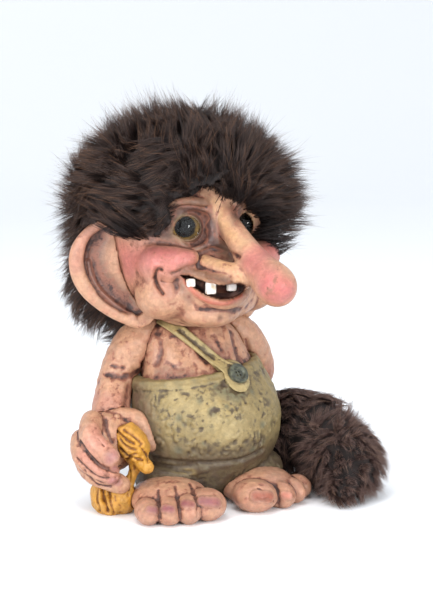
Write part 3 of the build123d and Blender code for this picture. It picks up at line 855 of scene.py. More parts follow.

# %% [markdown]
# The head's flat colours, each as pixels, paint, width and strength: pink cheeks and nose, the purple
# brown of the sockets with painted shade round the eyes, beside the nose and in the fold by the mouth,
# and the lips. The first few, on cheek and jowl, are repeated on the far side. The lids get olive rims.
# The stain, with painted shade, then goes into every hollow and where the head meets its neighbours, and
# is wiped off the high places.

# %% Head: paint
PATCHES = [
    ([(120, 250), (124, 270), (130, 290)], PINK, 9, 0.5),
    ([(130, 262), (150, 258), (172, 260)], PINK, 13, 0.85),
    ([(150, 252), (170, 254), (190, 256)], PINK, 8, 0.8),
    ([(125, 285), (140, 300), (160, 310)], OCHRE, 9, 0.6),
    ([(262, 250), (272, 256)], PINK, 8, 0.7),
    ([(160, 284), (168, 290)], SALMON, 6, 0.6),
    ([(196, 188), (214, 192), (216, 206)], OCHRE, 7, 0.6),
    # From here to the near black beside the nose: socket paint with painted shade round the eyes and beside
    # the nose.
    ([(180, 226), (200, 232)], PLUM, 13, 0.95),
    ([(165, 232), (168, 216), (182, 209), (198, 210), (207, 220), (208, 234)], DARK_AND_SHADE, 4.5, 0.55),
    ([(206, 240), (196, 246), (182, 247), (170, 240)], DARK_AND_SHADE, 3.6, 0.45),
    ([(235, 224), (238, 211), (246, 207), (256, 213), (259, 226), (254, 238)], DARK_AND_SHADE, 3.6, 0.5),
    ([(160, 228), (172, 214), (196, 208)], PLUM, 9, 0.85),
    ([(206, 214), (209, 232), (214, 246)], PLUM, 7.5, 0.85),
    ([(236, 214), (244, 222), (254, 232)], PLUM, 7, 0.9),
    ([(206, 246), (218, 248), (232, 253)], DARK_AND_SHADE, 4.5, 0.55),
    ([(200, 258), (214, 260), (228, 266), (240, 276)], CREAM, 4.6, 0.9),
    ([(216, 204), (226, 226), (240, 240), (254, 252)], CREAM, 4.2, 0.7),
    ([(250, 262), (268, 276)], PINK, 9, 0.75),
    ([(265, 290), (275, 298), (288, 294)], PINK, 8, 0.7),
    ([(272, 286), (284, 290)], ROSE, 9, 0.85),
    # Painted shade in the fold beside the mouth corner.
    ([(178, 276), (184, 290), (190, 300)], PLUM, 3.6, 0.5),
    ([(182, 269), (198, 272), (214, 277), (236, 284)], LIP_BROWN, 3.6, 0.9),
    ([(187, 283), (197, 295), (212, 303), (229, 303), (242, 295)], LIP, 2.3, 0.9),
    ([(182, 276), (188, 283)], LIP, 1.6, 0.7),
    ([(172, 211), (182, 205), (196, 203), (207, 208)], LIP_BROWN, 3.4, 0.8),
    ([(234, 209), (241, 204), (249, 207)], LIP_BROWN, 3.0, 0.8),
    ([(220, 318)], LIP_BROWN, 2.2, 0.9),
]
FAR_PATCHES = 6
LID_PAINT = 2.1 * MM
DEEP_CREASE = -0.9
DEEP_SOAK = 0.35
FINE_SOAK = 0.12
WIPE = -0.35
SOCKET_RADIUS = GLASS_RADIUS * 1.04
WIPED = [
    ([(134, 258), (152, 254), (186, 258)], 11),
    ([(262, 268), (272, 286), (282, 288)], 12),
    ([(216, 204), (226, 226), (240, 240), (256, 256)], 5),
    ([(200, 258), (214, 260), (232, 268)], 5),
]
for pixels, paint, width, strength in PATCHES:
    head.brush(pixels, paint, width, strength)
for pixels, paint, width, strength in PATCHES[:FAR_PATCHES]:
    head.dab(head.snapped(across_head(head.seen(pixels))), paint, width * MM, strength * 0.9)
for rim in lid_paths.values():
    head.dab(rim, LID, LID_PAINT, 0.9)
head.stain_and_shade_in_hollows((14, 0.42), (90, 1.1))
for pixels, depth, width in CREASES.values():
    head.stain_and_shade_along(head.seen(pixels), width * 1.5 * MM, DEEP_SOAK if depth < DEEP_CREASE else FINE_SOAK)
for pixels, width in WIPED:
    head.stain_and_shade_along(head.seen(pixels), width * MM, WIPE)
head.shade_beside(["torso", "right_ear", "left_ear", "wig_backing"], 2.6 * MM, 0.6)
# The socket behind each glass ball is painted near black: painted shade that shows round the iris disc.
for place in eye_places.values():
    behind = np.linalg.norm(head.points - np.array(place), axis=1) < SOCKET_RADIUS
    head.paint[behind] = DARK_AND_SHADE
head.finish(skin_finish, "head", "skin")

# %% [markdown]
# ## Ears
# Each ear is a big dished leaf with a rolled rim. The frame's leaf is remeshed and rubbed until its
# edges roll, a second ridge is raised inside it, and the bottom of the dish is painted purple brown.

# %% Ears
EAR_RIM = [
    (97, 226), (86, 236), (79, 250), (76, 264), (79, 278), (86, 291), (97, 301), (110, 311), (126, 320),
    (138, 326),
]
EAR_LINES = {
    "rim": (EAR_RIM, 1.0, 3.4),
    "ridge": ([(88, 262), (91, 275), (98, 289), (110, 301), (124, 311), (135, 318)], 1.5, 1.9),
    "dish": ([(98, 240), (94, 258), (100, 276), (112, 290), (126, 304)], -1.0, 5.0),
    "valley": ([(92, 240), (87, 256), (88, 270), (95, 288), (106, 301), (120, 311)], -0.9, 1.4),
}
EAR_PAINTS = [
    ("dish", PLUM, 7.5, 0.85),
    ("ridge", EAR_RIDGE_BROWN, 2.2, 0.7),
    ("rim_top", SALMON, 5.0, 0.6),
    ("valley", PLUM, 2.4, 0.8),
]
RIM_TOP_STEPS = 40
right_ear = Clay(remeshed(cast("right_ear_leaf", "right_ear"), 0.6 * MM, 12), OCHRE)
left_ear = Clay(remeshed(cast("left_ear_leaf", "left_ear"), 0.6 * MM, 12), OCHRE)
right_paths = {name: right_ear.seen(line[0]) for name, line in EAR_LINES.items()}
left_paths = {name: left_ear.snapped(across_head(path)) for name, path in right_paths.items()}
for ear, paths, node in ((right_ear, right_paths, "right_ear"), (left_ear, left_paths, "left_ear")):
    for name, (_, depth, width) in EAR_LINES.items():
        ear.stroke(paths[name], depth * MM, width * MM)
    ear.rub(2)
    paths["rim_top"] = paths["rim"][:RIM_TOP_STEPS]
    for name, paint, width, strength in EAR_PAINTS:
        ear.dab(paths[name], paint, width * MM, strength)
    ear.stain_and_shade_in_hollows((20, 0.4), (90, 1.6))
    ear.shade_beside(["head"], 3.0 * MM, 0.6)
    ear.finish(skin_finish, node, "skin")

# %% [markdown]
# ## Trunk and arms
# The bare chest and the arms are mottled ochre and salmon with a lot of stain, and a shadow is painted
# under the jaw. The elbow and armpit folds are deep strokes, and fine clouds of displacement leave the
# uneven surface of the casting.

# %% Trunk
trunk = rough_cast("bare_trunk", "torso", 0.8, 8, 3.0, 0.7, OCHRE)
CHEST_FOLDS = [
    ([(158, 334), (161, 350), (156, 364)], -0.7, 3.2),
    ([(232, 334), (236, 350), (240, 364)], -0.6, 3.0),
    ([(226, 330), (230, 346), (233, 358)], 0.8, 2.2),
    ([(190, 336), (200, 352), (206, 362)], -0.4, 2.4),
    ([(170, 350), (182, 362)], 0.6, 4.0),
    ([(214, 336), (222, 350)], -0.4, 2.2),
]
TRUNK_LIPS = 0.08
TRUNK_STAIN = 0.08
for pixels, depth, width in CHEST_FOLDS:
    trunk.fold_seen(pixels, depth, width, TRUNK_LIPS)
trunk.rub(0)
trunk.brush([(190, 340), (214, 356)], SALMON, 8, 0.3)
trunk.brush([(160, 372), (190, 376)], PLUM, 5, 0.5)
trunk.brush([(204, 345), (216, 356), (228, 350)], PLUM, 6, 0.4)
trunk.stain_and_shade += TRUNK_STAIN
# Painted shadow under the jaw, and painted shade down the chest beside the right arm.
trunk.stain_and_shade_along(trunk.seen([(140, 328), (160, 334), (196, 334), (232, 330)]), 5 * MM, 0.30)
trunk.stain_and_shade_along(trunk.seen([(156, 340), (158, 356), (154, 372)]), 5 * MM, 0.25)
trunk.stain_and_shade_in_hollows((16, 0.50), (70, 0.75))
trunk.shade_beside(["head", "dungarees", "right_arm", "left_arm", "strap"], 3.0 * MM, 0.75)
trunk.finish(skin_finish, "torso", "skin")

# %% Arms
ARM_FOLDS = {
    "right_arm": [
        ([(108, 374), (118, 376), (128, 376), (140, 371), (152, 363)], -0.9, 3.2),
        ([(112, 366), (124, 368)], -0.6, 1.6),
        ([(120, 350), (130, 344), (140, 342)], 0.8, 4.0),
        ([(128, 384), (126, 398), (124, 408)], -0.5, 2.6),
        ([(98, 410), (108, 408), (120, 410)], -0.5, 1.6),
        ([(105, 380), (104, 395)], 0.6, 3.5),
        ([(148, 350), (146, 364), (138, 382), (130, 400)], -0.2, 4.0),
    ],
    "left_arm": [
        ([(246, 340), (250, 356), (258, 372)], -0.8, 1.6),
        ([(252, 346), (262, 362)], 0.6, 3.0),
        ([(258, 380), (266, 384)], -0.8, 1.6),
    ],
}
ARM_STAIN = 0.16
WRIST_LENGTH = 14 * MM
WRIST_STEP = 60
for node, folds in ARM_FOLDS.items():
    arm = rough_cast(node + "_skin", node, 0.65, 8, 3.0, 0.8, OCHRE)
    for pixels, depth, width in folds:
        path = arm.fold_seen(pixels, depth, width)
        if depth < 0:
            arm.stain_and_shade_along(path, width * 2.2 * MM, 0.25)
    arm.rub(1)
    arm.stain_and_shade += ARM_STAIN
    wrist = arm.points[arm.points[:, 2] < arm.points[:, 2].min() + WRIST_LENGTH]
    arm.dab(wrist[::WRIST_STEP], SALMON, 7 * MM, 0.6)
    arm.stain_and_shade_in_hollows((16, 0.50), (70, 0.85))
    arm.shade_beside(["torso", "dungarees", "right_hand", "left_hand"], 2.6 * MM, 0.5)
    arm.finish(skin_finish, node, "skin")

# %% [markdown]
# ## Hands and feet
# Fingers and toes come from the frame; remeshing welds them with soft webs. The nails are low plates
# raised at their own pixels, with a groove round each one, and most toenails are painted purple red.

# %% Hands
HAND_NAILS = [
    ([(110, 459), (114, 455)], 4.0),
    ([(112, 481), (118, 482)], 2.6),
    ([(114, 468), (118, 469)], 2.2),
]
HAND_FOLDS = [
    ([(80, 441), (90, 455), (100, 466), (112, 471), (122, 473)], -1.0, 1.3),
    ([(76, 458), (88, 470), (100, 478), (116, 478)], -1.0, 1.3),
    ([(84, 470), (96, 484), (110, 487)], -0.8, 1.2),
    ([(106, 420), (108, 432), (112, 442)], -0.7, 1.8),
    ([(92, 424), (84, 434)], 0.6, 2.6),
    ([(86, 430), (92, 444), (102, 452)], 0.7, 2.6),
    ([(98, 438), (104, 446)], -0.35, 1.0),
    ([(117, 416)], 0.9, 1.5),
]
HAND_STAIN = 0.08
SMALL_HOLLOWS = ((14, 0.28), (70, 1.0))
hand = rough_cast("right_hand_skin", "right_hand", 0.5, 5, 2.4, 0.5, OCHRE)
for pixels, depth, width in HAND_FOLDS:
    hand.fold_seen(pixels, depth, width)
for pixels, width in HAND_NAILS:
    hand.nail(hand.seen(pixels), width, 0.8)
hand.rub(1)
hand.brush([(96, 432), (104, 444), (92, 440)], WRIST_PINK, 7, 0.7)
hand.brush([(84, 456), (96, 468), (108, 478)], FINGER_PINK, 7, 0.6)
for pixels, width in HAND_NAILS:
    hand.brush(pixels, NAIL, width * 1.1, 0.8)
hand.stain_and_shade += HAND_STAIN
hand.stain_and_shade_in_hollows(*SMALL_HOLLOWS)
hand.shade_beside(["dungarees", "stick", "right_arm"], 2.0 * MM, 0.5)
hand.finish(skin_finish, "right_hand", "skin")

back_hand = rough_cast("left_hand_skin", "left_hand", 0.6, 6, 2.4, 0.5, SALMON)
back_hand.stain_and_shade_in_hollows((16, 0.28), (70, 1.0))
back_hand.shade_beside(["dungarees", "left_arm"], 2.0 * MM, 0.5)
back_hand.finish(skin_finish, "left_hand", "skin")

# %% Feet
FOOT_NAILS = {
    "right_foot": [
        ([(202, 501), (216, 502)], 3.4, RED_NAIL),
        ([(184, 503), (191, 504)], 2.9, RED_NAIL),
        ([(165, 508), (171, 509)], 2.7, RED_NAIL),
        ([(150, 509), (156, 510)], 2.6, NAIL),
    ],
    "left_foot": [
        ([(256, 496), (270, 497)], 3.4, BROWN_NAIL),
        ([(284, 495), (289, 496)], 2.4, PALE_NAIL),
    ],
}
FOOT_CREASES = {
    "right_foot": [
        ([(158, 490), (159, 502), (160, 518)], -0.5, 1.3),
        ([(175, 486), (178, 502), (180, 518)], -0.5, 1.3),
        ([(190, 484), (196, 500), (198, 516)], -0.5, 1.3),
        ([(199, 506), (210, 508), (220, 508)], -0.6, 0.8),
    ],
    "left_foot": [
        ([(276, 484), (278, 498), (279, 508)], -0.5, 1.3),
        ([(254, 499), (262, 501), (268, 499), (274, 501)], -0.8, 0.9),
        ([(258, 488), (262, 490)], -0.5, 1.0),
    ],
}
FOOT_LIPS = 0.2
SOLE_HEIGHT = 12 * MM
SOLE_STEP = 80
for node, nails in FOOT_NAILS.items():
    foot = rough_cast(node + "_skin", node, 0.55, 6, 2.6, 0.5, OCHRE)
    for pixels, depth, width in FOOT_CREASES[node]:
        path = foot.fold_seen(pixels, depth, width, FOOT_LIPS)
        foot.stain_and_shade_along(path, width * 1.5 * MM, 0.3)
    for pixels, width, paint in nails:
        foot.nail(foot.seen(pixels), width, 0.9)
    foot.rub(1)
    sole = foot.points[foot.points[:, 2] < SOLE_HEIGHT]
    foot.dab(sole[::SOLE_STEP], SALMON, 5 * MM, 0.35)
    for pixels, width, paint in nails:
        foot.brush(pixels, PLUM, width * 1.3, 0.5)
        foot.brush(pixels, paint, width * 0.95, 0.9)
    foot.stain_and_shade_in_hollows(*SMALL_HOLLOWS)
    foot.shade_beside(["dungarees", "stick"], 3.0 * MM, 0.8)
    foot.finish(skin_finish, node, "skin")

# %% [markdown]
# ## Dungarees
# The trousers are cast as well, but modelled as coarse cloth: the belly is covered with pressed pits and
# short scratched strokes, the hem is a raised band with stitch ticks, and the cuffs are folded.

# %% Dungarees: pitted cloth
SEED = 7
PITS = 26
PIT_LENGTHS = (0.2, 1.8)
PIT_DEPTHS = (0.25, 0.55)
PIT_WIDTHS = (1.0, 2.2)
PIT_LIPS = 0.6
SCRATCHES = 300
SCRATCH_LENGTHS = (1.5, 5.5)
SCRATCH_DEPTHS = (-0.5, 0.5, 0.6)
SCRATCH_WIDTHS = (0.7, 1.2)
SCRATCH_LIPS = 0.4
BELLY_SHARE = 0.7
CUFF_HEIGHT = 12 * MM
BIB = [
    (150, 392), (200, 384), (240, 384), (272, 400), (276, 425), (262, 446), (230, 458), (190, 456),
    (150, 440),
]
dungarees = rough_cast("dungaree_cloth", "dungarees", 0.65, 8, 4.0, 1.0, CLOTH)
random = np.random.default_rng(SEED)
front = np.flatnonzero((dungarees.ways[:, 2] > -0.6) & (dungarees.points[:, 2] > CUFF_HEIGHT))
in_bib = inside_outline(on_photo(dungarees.points[front]), np.array(BIB, float))
belly = front[in_bib & (dungarees.ways[front, 1] < 0.2)]
for _ in range(PITS):
    place = dungarees.points[random.choice(belly)]
    way = random.normal(size=3)
    length = random.uniform(*PIT_LENGTHS) * MM
    path = np.array([place - way * length / 2, place, place + way * length / 2])
    depth = -random.uniform(*PIT_DEPTHS) * MM
    dungarees.stroke(path, depth, random.uniform(*PIT_WIDTHS) * MM, PIT_LIPS)
steps = np.linspace(-0.5, 0.5, 7)[:, None]
for _ in range(SCRATCHES):
    place = dungarees.points[random.choice(belly if random.random() < BELLY_SHARE else front)]
    way = np.array([0.5, 0.0, -1.0]) + random.normal(size=3) * 0.7
    way /= np.linalg.norm(way)
    length = random.uniform(*SCRATCH_LENGTHS) * MM
    path = place + way * length * steps + random.normal(size=3) * (steps**2 * 4) * MM
    depth = random.choice(SCRATCH_DEPTHS) * MM
    dungarees.stroke(path, depth, random.uniform(*SCRATCH_WIDTHS) * MM, SCRATCH_LIPS)
print("pits", PITS, "scratches", SCRATCHES)

# %% Dungarees: hem and cuffs
HEM_TOP = [(134, 383), (150, 383), (170, 382), (190, 380), (206, 377), (222, 373)]
HEM_LOW = [(134, 391), (152, 391), (172, 390), (192, 388), (210, 384), (226, 380)]
TICK_START = Vector((0, 0, 1.1 * MM))
TICK_END = Vector((0, 0, 2.2 * MM))
CUFFS = [
    ([(148, 468), (164, 474), (184, 475), (206, 470)], 0.9, 2.2),
    ([(150, 462), (170, 466), (196, 466)], -0.9, 1.4),
    ([(158, 480), (180, 483), (204, 479)], -0.6, 1.4),
    ([(152, 458), (176, 462), (206, 463), (240, 460), (262, 450)], -1.2, 2.0),
]
CUFF_LIPS = 0.2
hem_line = dungarees.fold_seen(HEM_LOW, -0.6, 1.0, 0)
dungarees.fold_seen(HEM_TOP, 0.5, 1.3)
ticks = hem_line[::2]
for tick in ticks:
    dungarees.stroke(np.array([tick + TICK_START, tick + TICK_END]), -0.3 * MM, 0.55 * MM)
for pixels, depth, width in CUFFS:
    dungarees.fold_seen(pixels, depth, width, CUFF_LIPS)
dungarees.rub(1)
print("stitch ticks", len(ticks))

# %% Dungarees: paint
SHADE_TOP = 31 * MM
SHADE_FADE = 10 * MM
CLOTH_PATCHES = [
    ([(180, 398), (210, 410), (230, 430)], CLOTH_PALE_AND_HIGHLIGHT, 12, 0.7),
    # Painted shade on the belly's edge by the right arm.
    ([(136, 395), (142, 415), (150, 440)], PLUM, 11, 0.75),
    ([(222, 390), (236, 396)], CLOTH_GREY, 5, 0.7),
    # A painted highlight on the rolled cuff.
    ([(176, 470), (192, 472)], CLOTH_PALE_AND_HIGHLIGHT, 3, 0.6),
]
GREY_SPOTS = 26
SPOT_SIZES = (1.4, 3.4)
# Painted shade along the belly's lower edge and its edge by the right arm.
SHADE_LINES = ([(190, 448), (230, 452), (256, 440)], [(148, 425), (160, 448)])
# Darker towards the bottom: the cloth's dark paint, with painted shade under the belly.
under = np.clip((SHADE_TOP - dungarees.points[:, 2]) / SHADE_FADE, 0, 1)[:, None] * 0.85
dungarees.paint += (np.array(CLOTH_DARK_AND_SHADE) - dungarees.paint) * under
dungarees.stain_and_shade += under[:, 0] * 0.4
for pixels, paint, width, strength in CLOTH_PATCHES:
    dungarees.brush(pixels, paint, width, strength)
for _ in range(GREY_SPOTS):
    spot = dungarees.points[random.choice(belly)]
    dungarees.dab(spot[None, :], CLOTH_GREY, random.uniform(*SPOT_SIZES) * MM, 0.75)
for pixels in SHADE_LINES:
    dungarees.stain_and_shade_along(dungarees.seen(pixels), 6 * MM, 0.35)
dungarees.stain_and_shade_in_hollows((16, 0.60), (80, 1.5))
dungarees.shade_beside(["torso", "right_foot", "left_foot", "right_hand", "strap", "stick"], 2.8 * MM, 0.6)
dungarees.finish(cloth_finish, "dungarees", "cloth")

# %% [markdown]
# ## Strap and button
# The strap is a flat band with rolled edges that ends in a loop round the button. The button is turned:
# a disc whose face is inset, sunk and bevelled, with four holes cut through by a Boolean.

# %% Strap
STRAP_EDGES = [
    [(176, 332), (194, 347), (212, 364), (224, 380)],
    [(184, 328), (202, 343), (220, 358), (236, 366)],
]
STRAP_GROOVE = [(180, 331), (198, 346), (214, 359)]
strap = Clay(remeshed(cast("strap_cloth", "strap"), 0.4 * MM, 5), CLOTH_PALE_AND_HIGHLIGHT)
for pixels in STRAP_EDGES:
    strap.fold_seen(pixels, 0.5, 1.0)
strap.fold_seen(STRAP_GROOVE, -0.4, 1.4, 0)
strap.rub(1)
strap.stain_and_shade_in_hollows((14, 0.3), (50, 0.9))
strap.shade_beside(["torso", "head", "button"], 1.6 * MM, 0.5)
strap.finish(cloth_finish, "strap", "cloth")

# %% Button
BUTTON_WAY = Vector((0.20, -0.78, 0.60)).normalized()
BUTTON_LIFT = 1.3
BUTTON_PLACE = Vector((1.1, -20.4, 54.7)) * MM + BUTTON_WAY * BUTTON_LIFT * MM
BUTTON_RADIUS = 4.5 * MM
BUTTON_DEPTH = 2.6 * MM
BUTTON_RIM = 1.5 * MM
DISH_DEPTH = 0.9 * MM
DISH_TAPER = 0.85
HOLES = 4
HOLE_PLACE = 1.1 * MM
HOLE_RADIUS = 0.45 * MM
DRILL_LENGTH = 8 * MM
BUTTON_EDGE = 0.35 * MM
EDGE_ANGLE = math.radians(40)
BUTTON_DARK = colour(52, 54, 48)
BUTTON_LIGHT = colour(96, 98, 78)
button_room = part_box("button")
bpy.ops.object.select_all(action="DESELECT")
bpy.ops.mesh.primitive_cylinder_add(vertices=48, radius=BUTTON_RADIUS, depth=BUTTON_DEPTH)
button = bpy.context.object
button.name = "turned_button"
bpy.ops.object.mode_set(mode="EDIT")
bpy.ops.mesh.select_all(action="DESELECT")
bpy.ops.object.mode_set(mode="OBJECT")
for face in button.data.polygons:
    face.select = face.normal.z > 0.9
bpy.ops.object.mode_set(mode="EDIT")
bpy.ops.mesh.select_mode(type="FACE")
bpy.ops.mesh.inset(thickness=BUTTON_RIM)
bpy.ops.mesh.extrude_region_move(TRANSFORM_OT_translate={"value": (0, 0, -DISH_DEPTH)})
bpy.ops.transform.resize(value=(DISH_TAPER, DISH_TAPER, 1))
bpy.ops.object.mode_set(mode="OBJECT")
for number in range(HOLES):
    angle = math.radians(45 + 360 / HOLES * number)
    place = (HOLE_PLACE * math.cos(angle), HOLE_PLACE * math.sin(angle), 0)
    bpy.ops.object.select_all(action="DESELECT")
    bpy.ops.mesh.primitive_cylinder_add(vertices=16, radius=HOLE_RADIUS, depth=DRILL_LENGTH, location=place)
    drill = bpy.context.object
    applied(button, "BOOLEAN", object=drill, operation="DIFFERENCE", solver="EXACT")
    bpy.data.objects.remove(drill)
applied(button, "BEVEL", width=BUTTON_EDGE, segments=3, limit_method="ANGLE", angle_limit=EDGE_ANGLE)
button.rotation_euler = BUTTON_WAY.to_track_quat("Z", "Y").to_euler()
button.location = BUTTON_PLACE
settle(button)


def worn(name, dark, light, shine):
    """A plain worn paint: two close colours in blotches, with small dents."""
    material, place, shader = new_material(name)
    blotches = noise(place, 500, 4, 0.6)
    plug(shader, "Base Color", blotches.ramp(0.35, 0.7).mix(dark, light))
    plug(shader, "Roughness", shine + 0.2 * blotches)
    plug(shader, "Normal", bump(place, noise(place, 1400, 3, 0.6), 0.4, 0.0004))
    return material


settled(button, worn("button_paint", BUTTON_DARK, BUTTON_LIGHT, 0.3), "button", "figure", "button")
print("the frame's button", [[round(v, 4) for v in corner] for corner in button_room])

# %% [markdown]
# ## Stick
# A knotted stick of ochre yellow: a split root on the ground, a thin shaft and a knob that swells out of
# the fist. Its furrows run along the wood, so they are long pressed strokes.

# %% Stick
STICK_FURROWS = [
    ([(116, 430), (124, 438), (134, 444)], -1.2, 1.1),
    ([(118, 436), (126, 446), (136, 450)], -1.0, 1.0),
    ([(124, 430), (134, 436), (142, 444)], -1.0, 1.1),
    ([(120, 448), (128, 456), (136, 454)], -1.1, 1.2),
    ([(124, 460), (132, 458), (142, 460)], -1.0, 1.0),
    ([(140, 446), (146, 454), (148, 462)], -0.8, 1.0),
    ([(130, 470), (130, 484), (128, 496)], -0.6, 0.9),
    ([(98, 484), (97, 498), (100, 512)], -1.2, 1.0),
    ([(103, 484), (104, 498), (108, 512)], -1.6, 1.3),
    ([(110, 486), (110, 500), (114, 514)], -0.9, 1.0),
]
STICK_LIPS = 0.4
STICK_RINGS = [([(138, 463)], 2.6, 1.4), ([(124, 500)], 2.8, 1.5)]
RING_HEIGHT = 0.9 * MM
RING_HOLE = -1.3 * MM
stick = rough_cast("knotted_stick", "stick", 0.5, 4, 2.6, 1.1, STICK)
for pixels, depth, width in STICK_FURROWS:
    path = stick.fold_seen(pixels, depth, width, STICK_LIPS)
    stick.stain_and_shade_along(path, width * 1.3 * MM, 0.2)
for pixels, ring_width, hole_width in STICK_RINGS:
    path = stick.seen(pixels)
    stick.stroke(path, RING_HEIGHT, ring_width * MM)
    stick.stroke(path, RING_HOLE, hole_width * MM)
    stick.stain_and_shade_along(path, hole_width * MM, 0.5)
stick.rub(1)
stick.stain_and_shade_in_hollows((14, 0.26), (60, 1.0))
stick.shade_beside(["right_hand", "right_foot", "dungarees"], 2.0 * MM, 0.5)
stick.finish(stick_finish, "stick", "stick")

# %% [markdown]
# ## Glass eyes
# A doll maker's eye is a clear glass ball with a flat back, and a painted disc behind it: a wide black
# pupil in a ring of olive amber. The ball is cut flat by a bisect, a hair before the frame's disc, which
# only needs paint.

# %% Eyes
EYE_BACK = 1.8 * MM
GLASS_AIR = 0.06 * MM
GLASS_ROUGHNESS = 0.02
GLASS_IOR = 1.30
GLASS_TINT = (0.97, 0.98, 0.97, 1)
GLASS_CLEAR = (1, 1, 1, 1)
GAZE_TURN = math.radians(-33)
AMBER_DARK = colour(92, 64, 24)
AMBER_LIGHT = colour(160, 124, 54)
PUPIL = colour(4, 3, 3)
IRIS_EDGE = colour(38, 26, 14)
PUPIL_FADE = (0.0029, 0.0034)
EDGE_FADE = (0.0043, 0.0052)
PUPIL_WAVER = 0.0004
DISC_ROUGHNESS = 0.5
DISC_SPECULAR = 0.1
glass_material, glass_place, glass_shader = new_material("clear_glass")
plug(glass_shader, "Roughness", GLASS_ROUGHNESS)
plug(glass_shader, "Transmission Weight", 1.0)
plug(glass_shader, "IOR", GLASS_IOR)
plug(glass_shader, "Base Color", noise(glass_place, 200).ramp(0.2, 0.9).mix(GLASS_TINT, GLASS_CLEAR))
gaze_back = HEAD_FRAME.to_3x3() @ Matrix.Rotation(GAZE_TURN, 3, "Z") @ Vector((0, 1, 0))


def iris_paint(name, centre):
    """Rings of paint round one disc's centre: pupil, amber and a dark rim."""
    material, place, shader = new_material(name)
    gap = place.node("ShaderNodeVectorMath", {"operation": "SUBTRACT"}, {0: place, 1: tuple(centre)})
    radius = gap.node("ShaderNodeVectorMath", {"operation": "LENGTH"}, {0: gap}, "Value")
    fibres = noise(gap, 1500, 3, 0.7)
    amber = fibres.mix(AMBER_DARK, AMBER_LIGHT)
    ringed = (radius + (fibres - 0.5) * PUPIL_WAVER).ramp(*PUPIL_FADE).mix(PUPIL, amber)
    plug(shader, "Base Color", radius.ramp(*EDGE_FADE).mix(ringed, IRIS_EDGE))
    plug(shader, "Roughness", DISC_ROUGHNESS)
    plug(shader, "Specular IOR Level", DISC_SPECULAR)
    return material


for side, place in eye_places.items():
    bpy.ops.object.select_all(action="DESELECT")
    bpy.ops.mesh.primitive_uv_sphere_add(segments=48, ring_count=32, radius=GLASS_RADIUS, location=place)
    glass = bpy.context.object
    glass.name = side + "_glass"
    settle(glass)
    bpy.ops.object.mode_set(mode="EDIT")
    bpy.ops.mesh.select_all(action="SELECT")
    back = place + gaze_back * EYE_BACK
    flat = back - gaze_back * GLASS_AIR
    bpy.ops.mesh.bisect(plane_co=flat, plane_no=gaze_back, use_fill=True, clear_outer=True)
    bpy.ops.object.mode_set(mode="OBJECT")
    settled(glass, glass_material, "glass", "figure", side + "_eye")
    only(glass)
    bpy.ops.object.shade_smooth_by_angle(angle=math.radians(40))
    painted(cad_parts[side + "_iris"], iris_paint(side + "_iris_paint", back))

# %% [markdown]
# ## Teeth
# Three chunky teeth stand in the dark mouth. Each one is a block with its edges bevelled and its sides
# bulged a little by a subdivision, scaled to the room that the frame gives it.

# %% Teeth
TOOTH_WHITE = colour(236, 232, 226)
TOOTH_YELLOW = colour(206, 188, 158)
TOOTH_EDGE = 0.7 * MM


def enamel():
    """Off-white enamel, yellower in blotches, with a low shine."""
    material, place, shader = new_material("tooth_paint")
    blotches = noise(place, 420, 3, 0.5)
    plug(shader, "Base Color", blotches.ramp(0.4, 0.75).mix(TOOTH_WHITE, TOOTH_YELLOW))
    plug(shader, "Roughness", 0.28 + 0.2 * blotches)
    plug(shader, "Normal", bump(place, noise(place, 900, 3, 0.6), 0.5, 0.0004))
    return material


tooth_paint = enamel()
for node in ("right_tooth", "middle_tooth", "left_tooth"):
    low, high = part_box(node)
    bpy.ops.object.select_all(action="DESELECT")
    bpy.ops.mesh.primitive_cube_add(size=2, location=(low + high) / 2)
    tooth = bpy.context.object
    tooth.name = node + "_enamel"
    tooth.scale = (high - low) / 2
    settle(tooth)
    applied(tooth, "BEVEL", width=TOOTH_EDGE, segments=3)
    applied(tooth, "SUBSURF", levels=2, render_levels=2)
    roughened(tooth, 1.6 * MM, 0.5 * MM)
    settled(tooth, tooth_paint, "tooth", "figure", node)

# %% [markdown]
# ## Fur
# The wig and the tail are real long-haired fur. A dark felt-like body fills the middle, and thousands of
# hairs grow through it. Each hair is a thin three-sided spike along a bent line, dark at its root and
# lighter at its tip, and a few longer ones are ginger. Hairs stand in tufts: neighbours lean to one
# shared point, which is what makes fur look like fur and not like grass. A hair carries its own colour
# in its UV map: one number for the hair, and one that runs from root to tip.

# %% Fur finish
FUR_SPECULAR = 0.35


def fur_finish(name, root, middle, tip, ginger):
    """Colour that runs along each hair and differs from hair to hair."""
    material, place, shader = new_material(name)
    layer = place.node("ShaderNodeUVMap", {"uv_map": "OFBake"}, {})
    apart = layer.node("ShaderNodeSeparateXYZ", {}, {0: layer}, "X")
    along = layer.node("ShaderNodeSeparateXYZ", {}, {0: layer}, "Y")
    dark = along.ramp(0.0, 0.75).mix(root, middle)
    light = (along.ramp(0.55, 1.0) * (0.35 + 0.65 * apart)).mix(dark, tip)
    warm = (apart.ramp(0.82, 0.90) * along.ramp(0.25, 0.8)).mix(light, ginger)
    plug(shader, "Base Color", warm)
    plug(shader, "Roughness", 0.38 + 0.2 * apart)
    plug(shader, "Specular IOR Level", FUR_SPECULAR)
    return material


# The colours at a hair's root, middle and tip, and the ginger of the longer hairs.
WIG_COLOURS = (colour(16, 11, 11), colour(33, 24, 23), colour(76, 57, 49), colour(116, 84, 64))
TAIL_COLOURS = (colour(34, 25, 25), colour(70, 53, 50), colour(128, 100, 90), colour(150, 118, 98))
# The felt's near black is the fur's dark colour with painted shade deep in the pile.
FELT_COLOURS = (colour(20, 14, 13), colour(40, 29, 26))
wig_hair = fur_finish("wig_hair", *WIG_COLOURS)
tail_hair = fur_finish("tail_hair", *TAIL_COLOURS)
felt = worn("fur_felt", *FELT_COLOURS, 0.8)
print("fur", wig_hair.name, tail_hair.name, felt.name)

